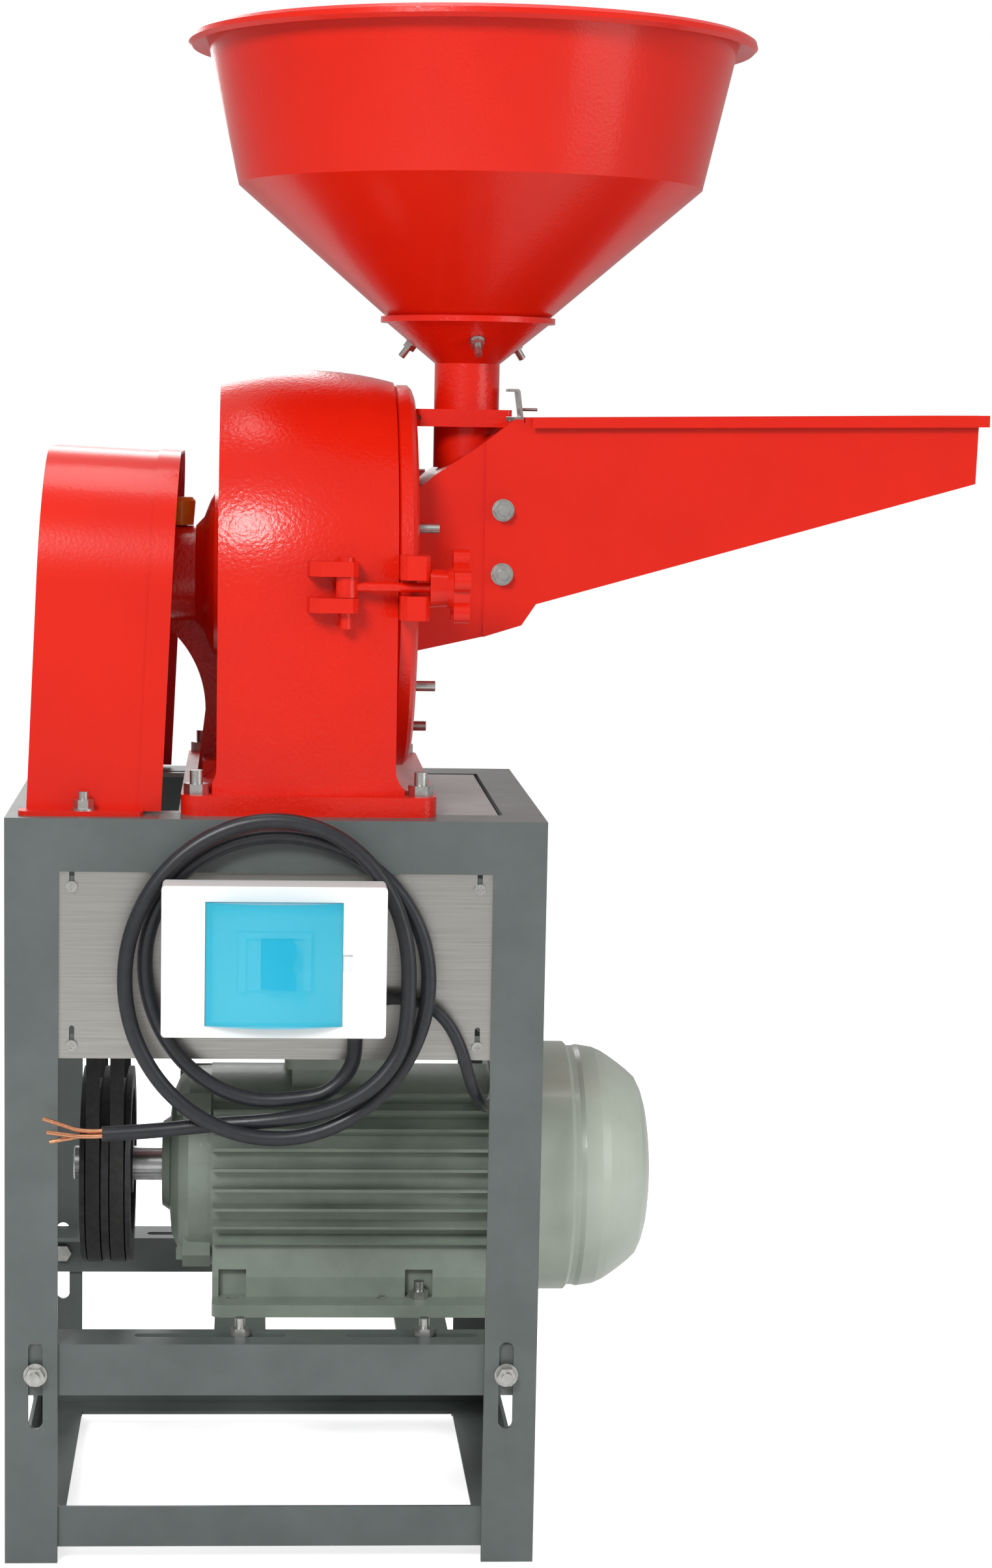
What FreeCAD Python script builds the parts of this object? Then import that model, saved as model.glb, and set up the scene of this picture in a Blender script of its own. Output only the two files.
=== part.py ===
import FreeCAD, Part
import math
import os

# Electric claw mill on an angle-iron stand, in millimetres, +Z up, +X towards the feed tray,
# +Y from the breaker box towards the back. Shapes are drawn from the stand's front left foot
# and moved to the origin, the middle of the bounding box's bottom, when they are written.

V = FreeCAD.Vector

# Stand
STAND_W = 405.0
STAND_D = 356.0
STAND_H = 575.0
LEG_FLANGE = 40.0
LEG_T = 3.5
SIDE_RAIL_FLANGE = 31.0
BOTTOM_RAIL_Z = 12.0
BOTTOM_RAIL_H = 31.5
BOTTOM_RAIL_FLANGE = 38.0
BOTTOM_RAIL_T = 3.0
LEG_SLOT_X = 23.3
LEG_SLOT_LOW = 106.0
LEG_SLOT_HIGH = 174.5
LEG_SLOT_W = 11.0
DECK_SIDE_GAP = 3.5
DECK_BACK_GAP = 8.0

# Front panel and its screws
PANEL_T = 1.2
PANEL_LOW = STAND_H - 182.0
PANEL_HIGH = STAND_H - 13.0
PANEL_EDGE = 5.0
PANEL_SCREW_X = (50.0, STAND_W - 50.0)
PANEL_SCREW_Z = (STAND_H - 172.0, STAND_H - 51.5)
PANEL_SLOT_L = 13.0
SCREW_R = 2.0
SCREW_HEAD_R = 4.2
SCREW_HEAD_H = 2.6
TAB_T = 3.0
TAB_H = 16.0

# Spindle axis and mill housing
AXIS_Y = STAND_D / 2 + 10.0
SPINDLE_Z = STAND_H + 173.0
BELT_OPENING = (42.0, 128.0, AXIS_Y - 138.0, AXIS_Y + 112.0)
OUTLET_OPENING = (176.0, 274.0, AXIS_Y - 58.0, AXIS_Y + 58.0)
HOUSING_X0 = 156.5
HOUSING_X1 = 292.0
HOUSING_R = 153.0
HOUSING_CROWN = 8.5
HOUSING_WALL = 8.0
HOUSING_BACK_WALL = 10.0
CHAMBER_R = 138.0
MOUTH_DEPTH = 10.0
BASE_X0 = 130.0
BASE_X1 = 323.0
BASE_Y0 = 20.0
BASE_Y1 = STAND_D - 6.0
BASE_H = 15.0
BASE_CORNER_R = 14.0
BASE_FILLET_R = 19.0
BASE_BOLT_X = (141.5, 311.0)
BASE_BOLT_Y = (35.0, STAND_D - 21.0)
BASE_BOLT_TOP = 18.0
M10_R = 5.0
M8_R = 4.0

# Spindle bearings and bearing housing
SPINDLE_R = 12.5
BEARING_R = 26.0
BEARING_W = 15.0
BEARING_X = (112.0, 146.0)
BEARING_TUBE_X0 = 108.0
BEARING_TUBE_R = 38.0
BEARING_FLARE_X = 144.0
BEARING_FLARE_R = 64.0
CAP_T = 3.0
CAP_R = 34.0
WEB_T = 14.0
WEB_DROP = (40.0, 70.0, 108.0)
RUN_GAP = 0.05
SIDE_GAP = 0.3
HOLE_GAP = 0.25
OIL_X = 125.5
OIL_STEM_R = 5.0
OIL_CAP_R = 11.5
OIL_CAP_Z0 = SPINDLE_Z + 38.5
OIL_CAP_H = 22.0
OIL_CAP_WALL = 2.0

# Pulleys and belts: the spindle runs faster than the motor by the ratio of the two radii
SPINDLE_PULLEY_R = 45.0
MOTOR_PULLEY_R = 79.0
PULLEY_X0 = 50.0
PULLEY_W = 40.0
BELT_COUNT = 2
BELT_PITCH = 19.0
BELT_TOP_W = 13.0
BELT_BOTTOM_W = 8.0
BELT_H = 8.0
BELT_PROUD = 1.0
BELT_LAYERS = (8.8, 10.8)

# Grinding parts
DISC_X0 = 204.0
DISC_T = 12.0
DISC_R = 112.0
CLAW_R = 6.0
ROTOR_CLAW_L = 29.0
FIXED_CLAW_L = 41.0
ROTOR_CLAW_RINGS = ((62.0, 8), (98.0, 16))
FIXED_CLAW_RINGS = ((44.0, 6), (80.0, 12))
FIXED_DISC_R = 96.0
FIXED_DISC_T = 10.0
SIEVE_R = 122.0
SIEVE_T = 1.5
SIEVE_ROWS = 3
SIEVE_HOLES = 24
SIEVE_HOLE_R = 3.0

# Belt guard
GUARD_X0 = 14.0
GUARD_W = 86.0
GUARD_LIP_W = 15.0
GUARD_LIP_STEP = 1.2
GUARD_Y0 = 32.0
GUARD_Y1 = STAND_D - 12.0
GUARD_TOP = SPINDLE_Z + 98.0
GUARD_CORNER_R = 97.0
GUARD_T = 2.0
GUARD_LEAN = 2.5
GUARD_PLATE_INSET = 11.0
GUARD_FOOT_X = (9.0, 102.0)
GUARD_FOOT_D = 20.0
GUARD_FOOT_T = 3.5
GUARD_BOLT_X = 57.5

# Cover, its hinge and what it carries
COVER_X1 = 308.0
COVER_R = 151.0
COVER_T = 8.0
COVER_RIM_R = 140.0
STUD_CIRCLE_R = 124.0
STUD_ANGLES = (-80.0, -20.0, 40.0, 160.0, 220.0)
RIB_ANGLES = (70.0, 130.0, 250.0, 310.0)
STUD_L = 24.0
M8_FLATS = 13.0
M8_NUT_H = 6.5
INLET_R = 38.0
HINGE_X = 303.0
HINGE_Y = AXIS_Y + 166.0
HINGE_PIN_R = 5.0
HINGE_EYE_R = 9.0
HINGE_LEAF_H = 26.0
HINGE_Z = (SPINDLE_Z - 58.0, SPINDLE_Z + 58.0)

# Feed box, tray, neck and hopper
FEED_Y0 = AXIS_Y - 70.0
FEED_Y1 = AXIS_Y + 70.0
SHEET = 2.0
FEED_LEFT_X = 308.0
FEED_RIGHT_X = 391.0
TRAY_OVERLAP_X = 362.0
TRAY_END_X = 746.0
TRAY_LIP = 9.0
TRAY_LIP_OUT = 7.0
TRAY_SHEET = 1.5
TRAY_BOLT_X = 376.0
TRAY_BOLT_Z = (SPINDLE_Z + 6.0, SPINDLE_Z + 55.5)
NECK_X = 351.0
NECK_R = 25.75
NECK_WALL = 2.5
FLANGE_X0 = 308.0
FLANGE_X1 = 384.5
FLANGE_HALF_Y = 38.0
FLANGE_Z0 = SPINDLE_Z + 119.0
FLANGE_T = 5.0
GATE_SLOT_H = 3.6
GATE_T = 3.0
GATE_HALF_Y = 29.0
GATE_HANDLE_H = 22.0
GATE_HANDLE_T = 2.0
FUNNEL_Z0 = SPINDLE_Z + 168.5
FUNNEL_Z1 = SPINDLE_Z + 200.0
FUNNEL_R1 = 64.5
COLLAR_R = 69.0
COLLAR_T = 2.5
HOPPER_CREASE_Z = SPINDLE_Z + 305.0
HOPPER_CREASE_R = 182.0
HOPPER_RIM_Z = SPINDLE_Z + 420.0
HOPPER_WALL_TOP_R = 207.0
HOPPER_RIM_R = 222.0
HOPPER_RIM_DROP = 9.0

# Swing bolt that holds the cover shut
FIN_X0 = 221.0
FIN_X1 = 261.0
FIN_T = 11.0
FIN_GAP = 16.0
LATCH_Y = AXIS_Y - 170.0
FIN_Y0 = LATCH_Y - 12.0
LATCH_PIN_X = 252.0
LATCH_PIN_R = 4.5
LATCH_PIN_BELOW = 12.0
BOLT_R = 3.6
EYE_R = 9.0
FORK_X1 = 314.0
FORK_Y0 = LATCH_Y - 13.0
FORK_SLOT = 12.0
FORK_EAR_H = 18.0
KNOB_HUB_R = 14.5
KNOB_HUB_L = 17.0
KNOB_R = 29.0
KNOB_T = 12.0
KNOB_LOBES = 5

# Motor on its two slotted rails
MOTOR_Z = 268.0
SHAFT_HEIGHT = 100.0
RAIL_FLANGE = 40.0
RAIL_T = 3.5
RAIL_BOLT_Z = 149.0
RAIL_SLOTS = ((97.0, 213.0), (260.0, 362.0))
RAIL_SLOT_Y = 28.0
RAIL_SLOT_W = 9.0
CROSSBAR_T = 5.0
CROSSBAR_W = 40.0
CROSSBAR_X = (178.0, 320.0)
CROSSBAR_END_GAP = 6.0
FRAME_X0 = 153.5
FRAME_X1 = 377.0
BARREL_R = 82.0
BARREL_BORE_R = 72.0
FIN_TIP_R = 92.0
FIN_COUNT = 36
MOTOR_FIN_T = 2.4
FOOT_Y0 = AXIS_Y - 101.0
FOOT_T = 10.0
FOOT_HOLE_X = (171.5, 320.0)
FOOT_HOLE_HALF_Y = 80.0
SPARE_HOLE_X = 291.0
BELL_X0 = 114.0
BELL_R = 79.0
BELL_HUB_R = 34.0
REAR_BELL_X1 = 388.0
COWL_X0 = 381.0
COWL_X1 = 508.5
COWL_R = 101.0
COWL_T = 2.0
SHAFT_R = 14.0
SHAFT_X0 = 42.0
SHAFT_X1 = 478.0
MOTOR_BEARING_R = 31.0
MOTOR_BEARING_W = 16.0
ROTOR_R = 47.0
STATOR_BORE_R = 47.6
STATOR_X0 = 205.0
STATOR_X1 = 325.0
FAN_X0 = 408.0
FAN_W = 40.0
FAN_R = 84.0
FAN_BLADES = 7
TERMINAL_BOX = (212.0, 302.0, AXIS_Y - 48.0, AXIS_Y + 48.0, MOTOR_Z + 88.0, MOTOR_Z + 144.0)

# Breaker box
BOX_X = 200.7
BOX_Z = STAND_H - 97.0
BOX_BASE_W = 139.0
BOX_BASE_H = 94.0
BOX_COVER_W = 164.6
BOX_COVER_H = 112.0
BOX_STEP_Y = -29.0
BOX_FRONT_Y = -60.0
BOX_WALL = 2.4
WINDOW_X = (150.2, 251.0)
WINDOW_Z = (BOX_Z - 47.5, BOX_Z + 44.5)
WINDOW_BULGE = 11.0
WINDOW_T = 1.8
WINDOW_BARREL_R = 2.4
WINDOW_BARREL_IN = 1.0
FASCIA_Y = BOX_FRONT_Y + 14.0
SWITCH_X = (174.0, 228.0)
SWITCH_Z = (BOX_Z - 22.5, BOX_Z + 20.5)
SWITCH_FACE_Y = FASCIA_Y - 6.0
LEVER_Z = (BOX_Z - 21.5, BOX_Z + 15.5)
LEVER_PIVOT_X = 203.0
LEVER_PIVOT_Y = FASCIA_Y + 2.0
LEVER_REACH = 19.0

# Power lead: it leaves the box's underside, makes two turns clockwise round the box's neck
# and ends bare at the left. Each point is (right, up) from the coil's middle, its y, and its
# heading in degrees clockwise from +X.
LEAD_R = 5.75
COIL_X = 203.0
COIL_Z = BOX_Z - 20.0
LEAD_EXIT_X = 262.0
LEAD_EXIT_Y = -15.0
CORNER_Y = -22.8
TAIL_Y = -32.0
COIL_POINTS = (
    (0.0, -94.0, -15.0, 180.0),
    (-98.0, 12.0, -13.0, 270.0),
    (0.0, 106.5, -9.5, 0.0),
    (80.3, 75.3, -10.3, 43.2),
    (113.5, 0.0, -18.5, 90.0),
    (0.0, -119.0, -27.0, 180.0),
    (-112.5, 0.0, CORNER_Y, 270.0),
    (0.0, 119.5, CORNER_Y, 0.0),
    (76.9, 76.9, CORNER_Y, 52.2),
    (98.0, 6.0, TAIL_Y, 90.0),
)
TAIL_ROUTE = (
    (301.0, TAIL_Y, BOX_Z - 25.5),
    (301.0, TAIL_Y, BOX_Z - 51.0),
    (293.0, -34.5, BOX_Z - 77.0),
    (273.0, -36.5, BOX_Z - 100.5),
    (240.0, -31.0, BOX_Z - 118.5),
    (197.0, -18.5, BOX_Z - 128.0),
    (155.0, -13.5, BOX_Z - 131.5),
    (111.0, -15.0, BOX_Z - 136.5),
    (74.0, -18.0, BOX_Z - 138.0),
)
CORE_ENDS = ((30.0, -20.0, BOX_Z - 126.0), (33.0, -26.0, BOX_Z - 135.0), (35.0, -19.0, BOX_Z - 144.0))
CORE_R = 1.6
CORE_OUT = 2.4
CORE_STRAIGHT = 14.0

# Cable from the breaker box to the motor's terminal box
CABLE_R = 4.75
CABLE_ROUTE = (
    (290.0, -6.5, BOX_Z - 36.0),
    (301.5, -6.5, BOX_Z - 36.0),
    (313.0, -6.5, BOX_Z - 39.0),
    (323.5, -6.5, BOX_Z - 45.5),
    (332.5, -7.0, BOX_Z - 55.0),
    (339.5, -7.5, BOX_Z - 67.5),
    (345.0, -7.0, BOX_Z - 82.0),
    (350.0, -1.0, BOX_Z - 100.5),
    (357.5, 13.0, BOX_Z - 117.5),
    (365.5, 33.0, MOTOR_Z + 81.5),
    (372.5, AXIS_Y - 131.0, MOTOR_Z + 82.0),
    (377.0, AXIS_Y - 105.0, MOTOR_Z + 92.0),
    (378.0, AXIS_Y - 78.0, MOTOR_Z + 105.0),
    (376.0, AXIS_Y - 54.0, MOTOR_Z + 116.0),
    (369.0, AXIS_Y - 32.0, MOTOR_Z + 123.0),
    (359.0, AXIS_Y - 15.0, MOTOR_Z + 126.0),
    (345.0, AXIS_Y - 4.0, MOTOR_Z + 126.0),
    (330.0, AXIS_Y, MOTOR_Z + 126.0),
    (315.0, AXIS_Y, MOTOR_Z + 126.0),
)
GLAND_R = 8.0
GLAND_L = 20.0

ORIGIN_X = (TRAY_END_X + TRAY_LIP_OUT) / 2
ORIGIN_Y = (AXIS_Y + HOPPER_RIM_R + BOX_FRONT_Y - WINDOW_BULGE) / 2

RAIL_TOP_Z = MOTOR_Z - SHAFT_HEIGHT + RAIL_T
DECK_Z = STAND_H
PULLEY_MID_X = PULLEY_X0 + PULLEY_W / 2


def box(x0, x1, y0, y1, z0, z1):
    return Part.makeBox(x1 - x0, y1 - y0, z1 - z0, V(x0, y0, z0))


def rod_x(x0, x1, y, z, r):
    return Part.makeCylinder(r, x1 - x0, V(x0, y, z), V(1, 0, 0))


def rod_y(x, y0, y1, z, r):
    return Part.makeCylinder(r, y1 - y0, V(x, y0, z), V(0, 1, 0))


def rod_z(x, y, z0, z1, r):
    return Part.makeCylinder(r, z1 - z0, V(x, y, z0), V(0, 0, 1))


def ring_x(x0, x1, y, z, r_out, r_in):
    return rod_x(x0, x1, y, z, r_out).cut(rod_x(x0 - 1, x1 + 1, y, z, r_in))


def ring_z(x, y, z0, z1, r_out, r_in):
    return rod_z(x, y, z0, z1, r_out).cut(rod_z(x, y, z0 - 1, z1 + 1, r_in))


def joined(shapes):
    first = shapes[0]
    return first.fuse(shapes[1:]).removeSplitter()


def cut_all(shape, tools):
    return shape.cut(tools).removeSplitter()


def group(shapes):
    solids = []
    for shape in shapes:
        solids += shape.Solids
    return Part.makeCompound(solids)


def prism(points, along):
    wire = Part.makePolygon(points + [points[0]])
    return Part.Face(wire).extrude(along)


def prism_xz(points, y0, y1):
    return prism([V(x, y0, z) for x, z in points], V(0, y1 - y0, 0))


def prism_yz(points, x0, x1):
    return prism([V(x0, y, z) for y, z in points], V(x1 - x0, 0, 0))


def prism_xy(points, z0, z1):
    return prism([V(x, y, z0) for x, y in points], V(0, 0, z1 - z0))


def soft_box(x0, x1, y0, y1, z0, z1, r, along="Z"):
    """A box whose four edges along one axis are rounded."""
    shape = box(x0, x1, y0, y1, z0, z1)
    edges = [e for e in shape.Edges if edge_runs(e, along)]
    return shape.makeFillet(r, edges)


def edge_runs(edge, along):
    a, b = edge.Vertexes[0].Point, edge.Vertexes[-1].Point
    step = b - a
    size = {"X": abs(step.x), "Y": abs(step.y), "Z": abs(step.z)}
    return size[along] > 0.999 * step.Length > 0


def turned(points, y, z):
    """A solid of revolution about an X axis, from (x, radius) points."""
    start = [V(points[0][0], y, z)]
    end = [V(points[-1][0], y, z)]
    outline = start + [V(x, y, z + r) for x, r in points] + end
    face = Part.Face(Part.makePolygon(outline + [outline[0]]))
    return face.revolve(V(0, y, z), V(1, 0, 0), 360)


def turned_z(points, x, y):
    """A ring-shaped solid about a Z axis, from a closed outline of (radius, z) points."""
    outline = [V(x + r, y, z) for r, z in points]
    face = Part.Face(Part.makePolygon(outline + [outline[0]]))
    return face.revolve(V(x, y, 0), V(0, 0, 1), 360)


def hexagon(centre, axis, across, length):
    """A hexagonal prism that starts at centre and runs along axis."""
    r = across / math.sqrt(3)
    corners = [V(r * math.cos(math.radians(60 * k)), r * math.sin(math.radians(60 * k)), 0) for k in range(6)]
    shape = prism(corners, V(0, 0, length))
    shape.Placement = FreeCAD.Placement(centre, FreeCAD.Rotation(V(0, 0, 1), axis))
    return shape


def bolt(head_at, axis, r, grip, tail, washer_r=0.0, washer_t=1.6):
    """A bolt with its head before head_at, a nut past the grip and the shank's tail beyond."""
    way = V(*axis)
    across = 3.3 * r
    head_h = 1.3 * r
    nut_h = 1.6 * r
    start = V(*head_at)
    parts = [hexagon(start - way * head_h, way, across, head_h)]
    parts.append(Part.makeCylinder(r, grip + tail, start, way))
    nut_at = start + way * grip
    if washer_r:
        parts.append(Part.makeCylinder(washer_r, washer_t, nut_at, way))
        nut_at = nut_at + way * washer_t
    parts.append(hexagon(nut_at, way, across, nut_h))
    return joined(parts)


def mirrored(shape, x=None, y=None):
    """A copy mirrored in the plane at x or y."""
    if x is not None:
        return shape.mirror(V(x, 0, 0), V(1, 0, 0))
    return shape.mirror(V(0, y, 0), V(0, 1, 0))


def angle_arc(a, b, c):
    return Part.Arc(a, b, c).toShape()


def tangent_arc(start, direction, end):
    """An arc from start, leaving along direction, to end, and its direction there."""
    chord = end - start
    along = chord.dot(direction)
    side = chord - direction * along
    if side.Length < 1e-6 * chord.Length:
        return Part.LineSegment(start, end).toShape(), V(direction)
    side_dir = V(side).normalize()
    radius = chord.Length ** 2 / (2 * side.Length)
    centre = start + side_dir * radius
    half = math.asin(min(1.0, chord.Length / (2 * radius)))
    if along < 0:
        half = math.pi - half
    turn = half
    middle = centre - side_dir * (radius * math.cos(turn)) + direction * (radius * math.sin(turn))
    out = direction * math.cos(2 * turn) + side_dir * math.sin(2 * turn)
    return Part.Arc(start, middle, end).toShape(), out


def biarc(p0, t0, p1, t1):
    """Two arcs that leave p0 along t0 and reach p1 along t1."""
    v = p1 - p0
    t = t0 + t1
    a = 2 * (1 - t0.dot(t1))
    b = v.dot(t)
    c = v.dot(v)
    if a < 1e-9:
        d = c / (4 * v.dot(t1))
    else:
        d = (-b + math.sqrt(b * b + a * c)) / a
    joint = (p0 + t0 * d + p1 - t1 * d) * 0.5
    first, way = tangent_arc(p0, t0, joint)
    last, _ = tangent_arc(p1, t1 * -1, joint)
    return [first, last]


def tube_path(points):
    """Straight runs joined by arcs as large as each pair of runs allows; also the arcs' radii."""
    edges = []
    radii = []
    at = points[0]
    for before, corner, after in zip(points, points[1:], points[2:]):
        back = before - corner
        on = after - corner
        turn = math.pi - back.getAngle(on)
        shorter = min(back.Length, on.Length)
        cut = 0.45 * shorter
        radius = cut / math.tan(turn / 2)
        back.normalize()
        on.normalize()
        enter = corner + back * cut
        leave = corner + on * cut
        middle_way = (back + on).normalize()
        to_centre = math.hypot(radius, cut)
        middle = corner + middle_way * (to_centre - radius)
        edges.append(Part.LineSegment(at, enter).toShape())
        edges.append(Part.Arc(enter, middle, leave).toShape())
        radii.append(radius)
        at = leave
    edges.append(Part.LineSegment(at, points[-1]).toShape())
    return edges, radii


def swept(edges, r):
    """A round tube along joined edges."""
    path = Part.Wire(edges)
    first = edges[0]
    start = first.Vertexes[0].Point
    way = first.tangentAt(first.FirstParameter)
    section = Part.Wire([Part.makeCircle(r, start, way)])
    return path.makePipeShell([section], True, False)


# Stand


def stand_leg():
    """The front left leg: its front flange is mitred against the top rail's."""
    front = prism_xz(
        [(0, 0), (LEG_FLANGE, 0), (LEG_FLANGE, STAND_H - LEG_FLANGE), (0, STAND_H)],
        0,
        LEG_T,
    )
    above_rail = box(-1, LEG_T, -1, LEG_T + 1, STAND_H - LEG_T, STAND_H + 1)
    side = box(0, LEG_T, 0, LEG_FLANGE, 0, STAND_H - LEG_T)
    slot = joined(
        [
            box(
                LEG_SLOT_X - LEG_SLOT_W / 2,
                LEG_SLOT_X + LEG_SLOT_W / 2,
                -1,
                LEG_T + 1,
                LEG_SLOT_LOW + LEG_SLOT_W / 2,
                LEG_SLOT_HIGH - LEG_SLOT_W / 2,
            ),
            rod_y(LEG_SLOT_X, -1, LEG_T + 1, LEG_SLOT_LOW + LEG_SLOT_W / 2, LEG_SLOT_W / 2),
            rod_y(LEG_SLOT_X, -1, LEG_T + 1, LEG_SLOT_HIGH - LEG_SLOT_W / 2, LEG_SLOT_W / 2),
        ]
    )
    return joined([front.cut(above_rail), side]).cut(slot)


def panel_tabs():
    """Two tabs welded behind the panel to a front leg's side flange."""
    tabs = []
    for z in PANEL_SCREW_Z:
        tab = box(
            LEG_T,
            PANEL_SCREW_X[0] + TAB_H / 2,
            LEG_T + PANEL_T,
            LEG_T + PANEL_T + TAB_T,
            z - TAB_H / 2,
            z + TAB_H / 2,
        )
        tabs.append(tab.cut(rod_y(PANEL_SCREW_X[0], 0, LEG_FLANGE, z, SCREW_R)))
    return tabs


def legs():
    plain = stand_leg()
    front_left = joined([plain] + panel_tabs())
    middle_x = STAND_W / 2
    middle_y = STAND_D / 2
    back_left = mirrored(plain, y=middle_y)
    return {
        "leg_front_left": front_left,
        "leg_front_right": mirrored(front_left, x=middle_x),
        "leg_back_left": back_left,
        "leg_back_right": mirrored(back_left, x=middle_x),
    }


def top_rails(holes):
    inner = LEG_FLANGE
    face = prism_xz(
        [
            (0, STAND_H),
            (STAND_W, STAND_H),
            (STAND_W - inner, STAND_H - inner),
            (inner, STAND_H - inner),
        ],
        0,
        LEG_T,
    )
    top = box(0, STAND_W, 0, inner, STAND_H - LEG_T, STAND_H)
    front = joined([face, top])
    back = mirrored(front, y=STAND_D / 2)
    side_top = box(0, SIDE_RAIL_FLANGE, inner, STAND_D - inner, STAND_H - LEG_T, STAND_H)
    side_face = box(0, LEG_T, inner, STAND_D - inner, STAND_H - SIDE_RAIL_FLANGE, STAND_H)
    left = joined([side_top, side_face])
    right = mirrored(left, x=STAND_W / 2)
    return group([cut_all(front, holes), cut_all(back, holes), left, right])


def bottom_rails():
    z0 = BOTTOM_RAIL_Z
    z1 = z0 + BOTTOM_RAIL_H
    t = BOTTOM_RAIL_T
    x0 = LEG_T
    x1 = STAND_W - LEG_T
    front = joined(
        [
            box(x0, x1, LEG_T, LEG_T + t, z0, z1),
            box(x0, x1, LEG_T, LEG_T + SIDE_RAIL_FLANGE, z0, z0 + t),
        ]
    )
    side_y0 = LEG_T + SIDE_RAIL_FLANGE
    side = joined(
        [
            box(x0, x0 + t, side_y0, STAND_D - side_y0, z0, z1),
            box(x0, x0 + BOTTOM_RAIL_FLANGE, side_y0, STAND_D - side_y0, z0, z0 + t),
        ]
    )
    return group([front, mirrored(front, y=STAND_D / 2), side, mirrored(side, x=STAND_W / 2)])


def deck_plate():
    plate = box(
        SIDE_RAIL_FLANGE + DECK_SIDE_GAP,
        STAND_W - SIDE_RAIL_FLANGE - DECK_SIDE_GAP,
        LEG_FLANGE,
        STAND_D - LEG_FLANGE - DECK_BACK_GAP,
        DECK_Z - LEG_T,
        DECK_Z,
    )
    for x0, x1, y0, y1 in (BELT_OPENING, OUTLET_OPENING):
        plate = plate.cut(box(x0, x1, y0, y1, 0, DECK_Z + 1))
    return plate


def front_panel():
    panel = box(PANEL_EDGE, STAND_W - PANEL_EDGE, LEG_T, LEG_T + PANEL_T, PANEL_LOW, PANEL_HIGH)
    holes = []
    for x in PANEL_SCREW_X:
        for z in PANEL_SCREW_Z:
            holes.append(rod_y(x, 0, LEG_FLANGE, z, SCREW_R))
            holes.append(box(x - SCREW_R, x + SCREW_R, 0, LEG_FLANGE, z, z + PANEL_SLOT_L))
            holes.append(rod_y(x, 0, LEG_FLANGE, z + PANEL_SLOT_L, SCREW_R))
    return cut_all(panel, holes)


def panel_screws():
    screws = []
    for x in PANEL_SCREW_X:
        for z in PANEL_SCREW_Z:
            shank = rod_y(x, LEG_T, LEG_T + PANEL_T + TAB_T + 4, z, SCREW_R)
            head = rod_y(x, LEG_T - SCREW_HEAD_H, LEG_T, z, SCREW_HEAD_R)
            head = head.makeFillet(1.2, [head.Edges[0]] if head.Edges[0].Length > 20 else [head.Edges[2]])
            cross = [
                box(x - 2.4, x + 2.4, LEG_T - SCREW_HEAD_H - 1, LEG_T - SCREW_HEAD_H + 1, z - 0.5, z + 0.5),
                box(x - 0.5, x + 0.5, LEG_T - SCREW_HEAD_H - 1, LEG_T - SCREW_HEAD_H + 1, z - 2.4, z + 2.4),
            ]
            screws.append(cut_all(joined([shank, head]), cross))
    return group(screws)


# Mill housing and base


def base_bolt_places():
    return [(x, y) for x in BASE_BOLT_X for y in BASE_BOLT_Y]


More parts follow.
